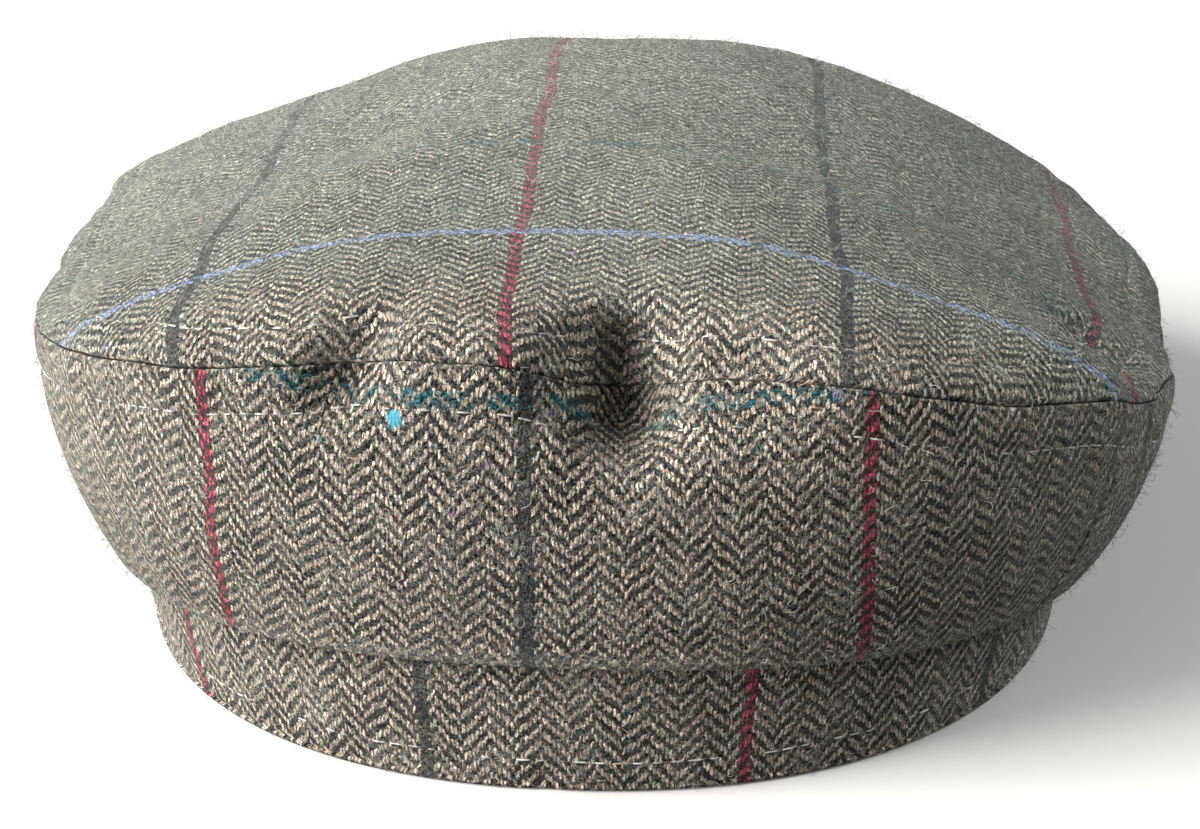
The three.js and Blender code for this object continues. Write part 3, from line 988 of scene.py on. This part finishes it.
def path_mesh(name, rows):
    """A mesh of edges only, from rows of (points, ways out, closed), in millimetres."""
    edges, first = [], 0
    for row, _, closed in rows:
        edges += [(first + i, first + i + 1) for i in range(len(row) - 1)]
        if closed:
            edges.append((first + len(row) - 1, first))
        first += len(row)
    points, ways = (np.concatenate([row[part] for row in rows]) for part in (0, 1))
    mesh = bpy.data.meshes.new(name)
    mesh.from_pydata(in_frame(points), edges, [])
    mesh.attributes.new("out", "FLOAT_VECTOR", "POINT").data.foreach_set("vector", ways.ravel())
    return mesh


def sewn(name, rows, settings):
    """Stitches along rows of points, as one piece."""
    tree = bpy.data.node_groups.get("Sewn stitches") or stitching_tree()
    thread = settings.thread
    piece = grown(name, path_mesh(name, rows), tree, {
        "Pitch": settings.stitch_pitch, "Length": settings.stitch_length, "Thread": thread,
        "Lift": STITCH_LIFT * thread, "Sinking": STITCH_SINKING * thread,
        "Seed": settings.stitch_seed, "Material": thread_material()})
    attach(piece, "root")


def fuzzy(name, grid, around, settings, edge_layers=0):
    """Loose hairs over a surface, whose points are given in columns.

    Its last rows count again for each of edge_layers, for more hairs there.
    """
    columns, rows = grid.shape[:2]
    faces, _ = sweep(columns, rows, around, False)
    edge = faces.reshape(-1, rows - 1, 4)[:, -FOLD_ROWS:].reshape(-1, 4)
    faces = np.concatenate([faces] + [edge] * edge_layers)
    middle = rows // 2
    if np.einsum("ij,ij->", normals_of(grid, around)[:, middle], grid[:, middle]) < 0:
        faces = faces[:, ::-1]
    mesh = bpy.data.meshes.new(name)
    mesh.from_pydata(in_frame(grid.reshape(-1, 3)), [], faces.tolist())
    mesh.update()
    tree = bpy.data.node_groups.get("Loose hairs") or fuzz_tree()
    piece = grown(name, mesh, tree, {
        "Density": settings.fuzz_density, "Length": settings.fuzz_length,
        "Width": settings.fuzz_width, "Seed": settings.fuzz_seed, "Material": wool_material()})
    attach(piece, "root")


# ---- The crown's cloths ----
def rolled(distance, radius):
    """How deep cloth lies at a distance from a seam that it rolls into."""
    return radius - np.sqrt(np.maximum(0, radius ** 2 - np.maximum(0, radius - distance) ** 2))


def stitched_relief(distance, settings):
    """Swell beside a seam, less the furrow of its stitch row."""
    row = NEAR[STITCHED]
    pillow = settings.pillow * np.sin(math.pi * np.clip(distance / row, 0, 1))
    furrow = settings.furrow * falling(distance - row, CROWN_FURROW)
    return (pillow - furrow) / TO_METRES


def into_seam(angle, settings):
    """The way in at the tip's seam that halves the corner between its two cloths."""
    angle = np.asarray(angle)[:, None]
    seam = soft_tip(angle, np.array([[0.0]]), settings)[:, 0]
    into_tip = unit(soft_tip(angle, np.array([[TIP_NEARBY]]), settings)[:, 0] - seam)
    into_side = unit(soft_side(angle, np.array([[SIDE_NEARBY]]), settings)[:, 0] - seam)
    return unit(into_tip + into_side)


def gathers(angle, settings):
    """Small gathers along the tip's seam, as a height at each angle."""
    waves = Ripples(*GATHERS, settings.pucker / TO_METRES)
    return waves(plain_seam(angle))[..., 0]


def sewn_edge(grid, distance, angle, around, settings):
    """A crown surface, columns first, with its roll into the tip's seam and its stitch furrow."""
    normals = normals_of(grid, around)
    if np.einsum("ijk,ijk->", normals, grid - CROWN_INSIDE) < 0:
        normals = -normals
    inwards = into_seam(angle, settings)
    share = smooth_step(0.0, ROLL_BLEND, distance)[..., None]
    down = unit(inwards[:, None] * (1 - share) - normals * share)
    depth = rolled(distance, settings.seam_roll / TO_METRES) - stitched_relief(distance, settings)
    depth = depth - gathers(angle, settings)[:, None] * falling(distance, GATHER_REACH)
    return grid + down * depth[..., None], normals


def crown_cloth(soft, angles, shares, rows, around, settings):
    """A crown cloth's outer surface from the tip's seam inwards or down, columns first.

    soft gives its points at an angle and a share of the way, and shares run from the seam to its
    far edge. The tip goes all round and stops a row short of its summit. A side ends in its fold.
    """
    lengths = lengths_along(soft(angles[:, None], shares[None], settings))
    whole = lengths[:, -1:]
    steps = np.arange(1, rows + 1) / (rows + 1 if around else rows)
    far = NEAR[-1] + (whole - NEAR[-1]) * steps
    distance = np.concatenate([np.repeat(NEAR[None], len(angles), 0), far], axis=1)
    fading = 1.0 if around else 1 - distance / whole
    share = values_at(lengths, shares, distance + SEAM_GAP / 2 * fading)
    grid = soft(angles[:, None], share, settings)
    grid, normals = sewn_edge(grid, distance, angles, around, settings)
    return SimpleNamespace(angles=angles, grid=grid, normals=normals, distance=distance,
                           whole=whole, share=share, around=around)


def tip_surface(settings):
    angles = even_angles(plain_seam, 0, 2 * math.pi, TIP_COLUMNS)[:-1]
    return crown_cloth(soft_tip, angles, INSETS, TIP_ROWS, True, settings)


def side_panels(settings):
    """The outer surfaces of the back panel and the front panel."""
    left, right, parting = SIDE_SEAMS.left, SIDE_SEAMS.right, SIDE_SEAMS.parting
    panels = []
    for start, end, count in ((left, right, BACK_COLUMNS),
                              (right + parting, left + 360 - parting, FRONT_COLUMNS)):
        angles = even_angles(plain_seam, start * DEGREES, end * DEGREES, count, fine_ends=True)
        panels.append(crown_cloth(soft_side, angles, RISES, SIDE_ROWS, False, settings))
    return panels


def tip_places(tip):
    """Where each point of the tip lies on its flat cloth. Its grain runs a little aslant."""
    spoke = plain_seam(tip.angles) - SUMMIT
    spoke = spoke[:, :2] / np.linalg.norm(spoke[:, :2], axis=1, keepdims=True)
    flat = spoke[:, None] * (tip.whole - tip.distance)[..., None]
    x, y = flat[..., 0], flat[..., 1]
    across = x + TIP_CLOTH.slant * y - TIP_CLOTH.across
    along = y - TIP_CLOTH.slant * x - TIP_CLOTH.bow * x ** 2 - TIP_CLOTH.along
    return np.stack([across, along], axis=-1)


def side_places(panel, middle_angle, across, upright):
    """Where a side panel's points lie on its flat cloth, whose weft runs level round the cap.

    An upright panel keeps its warp upright all the way round.
    """
    plain = plain_side(panel.angles[:, None], panel.share)
    steps = np.linalg.norm(np.diff(plain[..., :2], axis=0), axis=2)
    arc = np.concatenate([np.zeros((1, steps.shape[1])), np.cumsum(steps, axis=0)])
    for row in range(arc.shape[1]):
        arc[:, row] -= np.interp(middle_angle, panel.angles, arc[:, row])
    if upright:
        arc = np.broadcast_to(arc.mean(axis=1, keepdims=True), arc.shape)
    else:
        arc = arc * (1 - SIDE_CLOTH.ease * (1 - panel.share))
    x = -arc * SIDE_CLOTH.stretch
    fold_height = panel.grid[:, -1:, 2]
    y = fold_height + panel.whole - panel.distance - SIDE_CLOTH.bow * (x / 50) ** 2
    return np.stack([x + across, y + SIDE_CLOTH.along], axis=-1)


class CAP_OT_make_tip(bpy.types.Operator):
    """Make the top of the crown"""

    bl_idname = "cap.make_tip"
    bl_label = "Tip"

    def execute(self, context):
        settings = context.scene.cap_sizes
        thick = settings.cloth / TO_METRES
        tip = tip_surface(settings)
        grid, cloth = tip.grid, tip_places(tip)
        under = slice(LIP_ROWS, None, 3)
        inside = grid[:, under] - tip.normals[:, under] * thick
        lip = grid[:, :1] + into_seam(tip.angles, settings)[:, None] * LIP
        section = np.concatenate([grid[:, ::-1], lip, inside], axis=1)
        places = np.concatenate([cloth[:, ::-1], cloth[:, :1], cloth[:, under]], axis=1)
        columns, rows = section.shape[:2]
        top = softened(pressed(SUMMIT[None]), np.ones(1), settings)
        points = np.concatenate([section.reshape(-1, 3), top, top - UP * thick])
        middle = np.array([[-TIP_CLOTH.across, -TIP_CLOTH.along]])
        spots = np.concatenate([np.concatenate([places, places[:1]]).reshape(-1, 2), middle, middle])
        parts = [sweep(columns, rows, True, False)]
        # A fan of triangles closes the middle, above and below.
        i = np.arange(columns)
        after = (i + 1) % columns
        for pole, row, turn in ((0, 0, 1), (1, rows - 1, -1)):
            ends = [after * rows + row, i * rows + row][::turn]
            corners = [(i + 1) * rows + row, i * rows + row][::turn]
            parts.append((np.stack([np.full(columns, columns * rows + pole), *ends], 1),
                          np.stack([np.full(columns, (columns + 1) * rows + pole), *corners], 1)))
        material = tweed("tip cloth", TIP_FELTED, painted_sky_tint=TIP_PAINTED_SKY_TINT)
        piece = made_piece("crown_tip_cloth", points, parts, spots, material)
        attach(piece, "root")
        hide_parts("crown_tip")
        return {"FINISHED"}


class CAP_OT_sew_crown(bpy.types.Operator):
    """Make the two rows of stitches beside the tip's seam"""

    bl_idname = "cap.sew_crown"
    bl_label = "Crown stitches"

    def execute(self, context):
        settings = context.scene.cap_sizes
        rows = [(cloth.grid[:, STITCHED], cloth.normals[:, STITCHED], cloth.around)
                for cloth in (tip_surface(settings), *side_panels(settings))]
        sewn("crown_stitching", rows, settings)
        return {"FINISHED"}


class CAP_OT_raise_fuzz(bpy.types.Operator):
    """Make the loose hairs of the crown and the band"""

    bl_idname = "cap.raise_fuzz"
    bl_label = "Fuzz"

    def execute(self, context):
        settings = context.scene.cap_sizes
        fuzzy("crown_tip_fuzz", tip_surface(settings).grid, True, settings)
        back, front = side_panels(settings)
        fuzzy("crown_side_back_fuzz", back.grid, False, settings, FOLD_LAYERS)
        fuzzy("crown_side_front_fuzz", front.grid, False, settings, FOLD_LAYERS)
        _, band, _, outside = band_surface(settings)
        fuzzy("band_fuzz", band[:-1, outside], True, settings)
        return {"FINISHED"}


def with_rolled_ends(panel, settings):
    """The panel's points, whose first and last columns turn in where it is sewn to the next one."""
    middle = panel.grid[:, panel.grid.shape[1] // 2]
    arc = lengths_along(middle[None])[0]
    from_end = np.minimum(arc, arc[-1] - arc)
    depth = rolled(from_end, settings.seam_roll / TO_METRES)
    return panel.grid - panel.normals * depth[:, None, None]


def fleck_place(settings):
    """Where the bright nep lies on the sides, in metres."""
    angle = np.array([FLECK.station * DEGREES])
    course = soft_side(angle[:, None], RISES[None], settings)
    rise = values_at(lengths_along(course), RISES, np.array([[FLECK.below_seam]]))
    spot = soft_side(angle[:, None], rise, settings)[0, 0]
    return tuple(in_frame(spot))


class CAP_OT_make_sides(bpy.types.Operator):
    """Make the two panels of the crown's sides"""

    bl_idname = "cap.make_sides"
    bl_label = "Sides"

    def execute(self, context):
        settings = context.scene.cap_sizes
        kinds = (("crown_side_back", 90, SIDE_CLOTH.across, False),
                 ("crown_side_front", 270, SIDE_CLOTH.front_across, True))
        for panel, (node, middle, across, upright) in zip(side_panels(settings), kinds):
            cloth = side_places(panel, middle * DEGREES, across, upright)
            self.make_panel(node, panel, cloth, settings)
        return {"FINISHED"}

    def make_panel(self, node, panel, cloth, settings):
        outer = with_rolled_ends(panel, settings)
        # The fold rolls down and under to the panel's foot on the band.
        fold, foot = outer[:, -1], foot_point(panel.angles)
        down = unit(fold - outer[:, -2])
        t = (np.arange(1, ROLL_STEPS + 1) / ROLL_STEPS)[None, :, None]
        first, second = fold + down * FOLD_REACH, foot - UP * FOOT_REACH
        roll = (fold[:, None] * (1 - t) ** 3 + first[:, None] * 3 * t * (1 - t) ** 2
                + second[:, None] * 3 * t ** 2 * (1 - t) + foot[:, None] * t ** 3)
        inner = outer - panel.normals * (settings.cloth / TO_METRES)
        inner[:, :LIP_ROWS] = outer[:, :1] + into_seam(panel.angles, settings)[:, None] * LIP
        inner[:, :LIP_ROWS] += ((inner[:, LIP_ROWS:LIP_ROWS + 1] - inner[:, :1])
                                * np.linspace(0, 0.9, LIP_ROWS)[None, :, None])
        section = np.concatenate([outer, roll, inner[:, ::-1]], axis=1)
        roll_cloth = np.repeat(cloth[:, -1:], ROLL_STEPS, axis=1)
        roll_cloth[..., 1] -= np.linspace(*ROLL_CLOTH, ROLL_STEPS)
        places = np.concatenate([cloth, roll_cloth, cloth[:, ::-1], cloth[:, :1]], axis=1)
        columns, rows = section.shape[:2]
        parts = [sweep(columns, rows, False, True)]
        strip = outer.shape[1]
        j = np.arange(strip - 1)
        for column, turn in ((0, 1), (columns - 1, -1)):
            base, spot = column * rows, column * (rows + 1)
            ring = np.stack([j, j + 1, rows - 2 - j, rows - 1 - j], 1)[:, ::turn]
            hem = np.arange(strip - 1, rows - strip + 1)[None, ::turn]
            parts += [(base + ring, spot + ring), (base + hem, spot + hem)]
        material = tweed("side cloth", SIDE_FELTED, fleck_place(settings))
        worn = FOLD_WORN.above * falling(panel.whole - panel.distance, FOLD_WORN.reach)
        round_fold = np.full(roll.shape[:2], FOLD_WORN.round_it)
        worn = np.concatenate([worn, round_fold, worn[:, ::-1]], axis=1)
        piece = made_piece(node + "_cloth", section.reshape(-1, 3), parts,
                           places.reshape(-1, 2), material, worn.ravel())
        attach(piece, "root")
        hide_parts(node)


# ---- The band and the peak ----
def band_surface(settings):
    """The band's cross-section at each column, as points, and its places on the cloth.

    The last of what it gives are the rows of the cross-section that lie on the outside.
    """
    start = BAND_CLOTH.join * DEGREES

    def middle_line(angle):
        return band_point(angle, 0.5)

    angles = even_angles(middle_line, start, start + 2 * math.pi, BAND_COLUMNS)
    arc = lengths_along(middle_line(angles)[None])[0]
    arc -= np.interp(90 * DEGREES + 2 * math.pi, angles, arc)
    # The cross-section, as how far in and how high it goes: rounded edges, straight sides.
    thick, tall, edge = BAND.thickness, BAND.height, BAND.rounding
    turn = np.linspace(0, math.pi / 2, 6)
    low = [(edge * (1 - math.sin(t)), edge * (1 - math.cos(t))) for t in turn[::-1]]
    outer = [(0.0, height) for height in np.linspace(edge, tall - edge, 27)[1:-1]]
    top = [(edge * (1 - math.cos(t)), tall - edge * (1 - math.sin(t))) for t in turn]
    inner = [(thick, height) for height in np.linspace(tall - edge, edge, 12)]
    inward, height = np.array(low + outer + top + inner).T
    relief = BAND.swell * np.sin(math.pi * np.clip(height / tall, 0, 1))
    relief -= settings.furrow / TO_METRES * falling(height - BAND.stitched, FURROW_WIDTH)
    on_outside = inward < thick / 2
    shown = np.where(on_outside, inward - relief, inward)
    grid = band_point(angles[:, None], height[None] / tall, shown[None])
    # A small dent low at the back, and slow swells that die out towards the floor.
    x, z = grid[..., 0], grid[..., 2]
    aside, above = (x - BAND_DENT.x) / BAND_DENT.wide, (z - BAND_DENT.z) / BAND_DENT.tall
    dent = BAND_DENT.depth * np.exp(-aside ** 2 - above ** 2) * (grid[..., 1] > 0)
    grid = grid - outwards(angles)[:, None] * (dent * on_outside[None])[..., None]
    above_floor = smooth_step(0, 6, grid[..., 2] - front_lift(angles)[:, None])[..., None]
    grid = grid + Ripples(*BAND_SWELLS)(grid) * above_floor
    cloth = np.broadcast_arrays(BAND_CLOTH.across - arc[:, None], height[None] + BAND_CLOTH.along)
    return angles, grid, np.stack(cloth, -1), np.flatnonzero(inward < edge / 2)


class CAP_OT_make_band(bpy.types.Operator):
    """Make the upright band"""

    bl_idname = "cap.make_band"
    bl_label = "Band"

    def execute(self, context):
        settings = context.scene.cap_sizes
        angles, grid, cloth, outside = band_surface(settings)
        section = grid[:-1]
        columns, rows = section.shape[:2]
        places = np.concatenate([cloth, cloth[:, :1]], axis=1)
        parts = [sweep(columns, rows, True, True)]
        piece = made_piece("band_cloth", section.reshape(-1, 3), parts, places.reshape(-1, 2),
                           tweed("band cloth", SIDE_FELTED))
        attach(piece, "root")
        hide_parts("band")
        heights = grid[0, outside, 2] - grid[0, 0, 2]
        upper = int(np.searchsorted(heights, BAND.stitched))
        share = (BAND.stitched - heights[upper - 1]) / (heights[upper] - heights[upper - 1])
        low, high = section[:, outside[upper - 1]], section[:, outside[upper]]
        row = low + (high - low) * share
        sewn("band_stitching", [(row, outwards(angles[:-1]), True)], settings)
        return {"FINISHED"}


def peak_point(side, out, above):
    """side runs from -1 to 1 across the peak, and out from 0 at the band to 1 at the rim."""
    side, out = np.broadcast_arrays(side, out)
    angle = (270 + side * PEAK.half_span) * DEGREES
    inner = band_point(angle, 0.0, BAND.thickness)
    corner = band_point(np.array((270 + PEAK.half_span) * DEGREES), 0.0, -PEAK.corner_width)
    front = BAND.half_length + PEAK.reach + corner[1]
    x, y = oval(corner[0], front, front, PEAK.squareness, (270 + side * 90) * DEGREES)
    rim = points_of(x, corner[1] + y, 0.0)
    points = inner + (rim - inner) * out[..., None]
    lifted = np.maximum(0, 1 - (side / PEAK.rim_span) ** 2) ** 2
    rim_height = PEAK.thickness + PEAK.rim_rise * lifted
    inner_height = front_lift(angle) - GAP
    swell = PEAK.camber * PEAK.camber_shape * out ** 2 * (1 - out) * (1 - side ** 2)
    top = inner_height + (rim_height - inner_height) * out + swell
    points[..., 2] = top - (1 - above) * PEAK.thickness
    return points


def peak_surface(settings):
    """Sections of the peak, out over the top and back underneath, and their places on the cloth."""
    reach = 1 - np.cos(np.linspace(0, math.pi, PEAK_COLUMNS + 1))
    sides = (reach - 1)[:, None]
    rim_radius = PEAK.thickness / 2
    over = np.linspace(0, 1, PEAK_ROWS)[None]
    top, base = peak_point(sides, over, 1.0), peak_point(sides, over, 0.0)
    width = np.linalg.norm(top[:, -1] - top[:, 0], axis=1)[:, None]
    from_rim = (1 - over) * width
    # The rim is rounded, and the corners thin out to a soft edge.
    into_corner = ((np.abs(sides) - PEAK.soft_from) / PEAK.soft_over).clip(0, 1)
    pinch = rolled(from_rim, rim_radius) + rim_radius * (1 - np.sqrt(1 - into_corner ** 2))
    pinch = np.minimum(pinch, rim_radius - PEAK.thinnest)
    rows = sum(falling(from_rim - row, FURROW_WIDTH) for row in PEAK_STITCHED)
    quilt = sum(falling(from_rim - row - QUILT.beyond_row, QUILT.width) for row in PEAK_STITCHED[:-1])
    relief = settings.furrow / TO_METRES * (QUILT.share * quilt - rows)
    top[..., 2] += relief - pinch
    base[..., 2] += pinch - 0.5 * relief
    grid = np.concatenate([top, base[:, ::-1]], axis=1)
    # The cloth runs out over the top and on round the rim.
    inner, rim = grid[:, :1, :2], grid[:, PEAK_ROWS - 1:PEAK_ROWS, :2]
    flat = inner + unit(rim - inner) * lengths_along(grid)[..., None]
    cloth = np.stack([flat[..., 0] + PEAK_CLOTH.across, PEAK_CLOTH.along - flat[..., 1]], axis=-1)
    return grid, np.concatenate([cloth, cloth[:, :1]], axis=1)


def peak_rows(top):
    """The stitch rows on the peak's top, as points and ways out."""
    normals = normals_of(top, False)
    normals *= np.sign(normals[..., 2:])
    lengths = lengths_along(top)
    from_rim = (lengths[:, -1:] - lengths)[:, ::-1]
    rows = []
    for place in PEAK_STITCHED:
        # Each row ends where the peak grows too narrow for it.
        kept = from_rim[:, -1] > place + ROW_END
        wanted = np.full((kept.sum(), 1), place)
        at, out = (np.stack([values_at(from_rim[kept], field[kept, ::-1, axis], wanted)[:, 0]
                             for axis in range(3)], axis=-1) for field in (top, normals))
        rows.append((at, unit(out), False))
    return rows


class CAP_OT_make_peak(bpy.types.Operator):
    """Make the stiff peak"""

    bl_idname = "cap.make_peak"
    bl_label = "Peak"

    def execute(self, context):
        settings = context.scene.cap_sizes
        grid, cloth = peak_surface(settings)
        columns, rows = grid.shape[:2]
        ring, end = np.arange(rows)[None], columns - 1
        parts = [sweep(columns, rows, False, True), (ring, ring),
                 (end * rows + ring[:, ::-1], end * (rows + 1) + ring[:, ::-1])]
        piece = made_piece("peak_cloth", grid.reshape(-1, 3), parts, cloth.reshape(-1, 2),
                           tweed("peak cloth", SIDE_FELTED))
        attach(piece, "root")
        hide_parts("peak")
        sewn("peak_stitching", peak_rows(grid[:, :PEAK_ROWS]), settings)
        return {"FINISHED"}


# ---- Stage ----
class CAP_OT_make_stage(bpy.types.Operator):
    """Make the floor, the lamps and the camera"""

    bl_idname = "cap.make_stage"
    bl_label = "Stage"

    def execute(self, context):
        stage = context.scene.cap_stage
        self.make_floor(context, stage)
        self.make_lights(context, stage)
        self.make_camera(context, stage)
        context.scene.view_settings.view_transform = "Standard"
        return {"FINISHED"}

    def make_floor(self, context, stage):
        half = stage.floor_size / 2
        mesh = bpy.data.meshes.new("floor")
        corners = [(-half, -half, 0), (half, -half, 0), (half, half, 0), (-half, half, 0)]
        mesh.from_pydata(corners, [], [(0, 1, 2, 3)])
        material, g = new_material("pale_floor")
        g.settle("Principled BSDF", {"Base Color": stage.floor, "Roughness": 0.9, "Specular IOR Level": 0.1})
        mesh.materials.append(material)
        floor = bpy.data.objects.new("floor", mesh)
        context.scene.collection.objects.link(floor)
        # It sends no light back up to the cap, so that the cap's far side stays in shade.
        floor.visible_diffuse = False

    def make_lights(self, context, stage):
        world = bpy.data.worlds.new("room")
        world.use_nodes = True
        g = Graph(world.node_tree)
        g.settle("Background", {"Color": stage.sky, "Strength": stage.sky_strength})
        context.scene.world = world
        middle = sum(CAD_BOX, Vector()) / 2
        for name, place, size, power, tint in LAMPS:
            light = bpy.data.lights.new(name, "AREA")
            light.shape = "SQUARE"
            light.size = size
            light.energy = getattr(stage, power)
            light.color = tint
            lamp = bpy.data.objects.new(name, light)
            way = Vector(place).normalized()
            lamp.location = middle + way * LAMP_DISTANCE
            lamp.rotation_euler = way.to_track_quat("Z", "Y").to_euler()
            context.scene.collection.objects.link(lamp)

    def make_camera(self, context, stage):
        camera = bpy.data.cameras.new("camera")
        camera.lens = stage.lens
        camera.sensor_width = 36.0
        camera.clip_start = 0.01
        camera.clip_end = 50.0
        view = bpy.data.objects.new("camera", camera)
        view.location = in_frame(np.array(CAMERA.place))
        view.rotation_euler = Vector(CAMERA.way).to_track_quat("-Z", "Y").to_euler()
        context.scene.collection.objects.link(view)
        context.scene.camera = view


class CAP_PT_maker(bpy.types.Panel):
    """Panel of the cap's settings and steps"""

    bl_idname = "CAP_PT_maker"
    bl_label = "Tweed cap"
    bl_space_type = "VIEW_3D"
    bl_region_type = "UI"
    bl_category = "Cap"

    def draw(self, context):
        layout = self.layout
        scene = context.scene
        for settings in (scene.cap_sizes, scene.cap_cloth, scene.cap_stage):
            box = layout.box()
            for key in settings.__annotations__:
                box.prop(settings, key)
        for operator in OPERATORS:
            layout.operator(operator.bl_idname)


OPERATORS = (
    CAP_OT_make_tip, CAP_OT_make_sides, CAP_OT_sew_crown, CAP_OT_make_band, CAP_OT_make_peak,
    CAP_OT_raise_fuzz, CAP_OT_make_stage,
)
GROUPS = {"cap_sizes": CapSizes, "cap_cloth": CapCloth, "cap_stage": CapStage}
CLASSES = (*GROUPS.values(), *OPERATORS, CAP_PT_maker)


def register():
    for one in CLASSES:
        bpy.utils.register_class(one)
    for name, group in GROUPS.items():
        setattr(bpy.types.Scene, name, PointerProperty(type=group))


def unregister():
    for name in GROUPS:
        delattr(bpy.types.Scene, name)
    for one in reversed(CLASSES):
        bpy.utils.unregister_class(one)


def main():
    register()
    bpy.ops.cap.make_tip()
    bpy.ops.cap.make_sides()
    bpy.ops.cap.sew_crown()
    bpy.ops.cap.make_band()
    bpy.ops.cap.make_peak()
    bpy.ops.cap.raise_fuzz()
    bpy.ops.cap.make_stage()


if __name__ == "__main__":
    main()
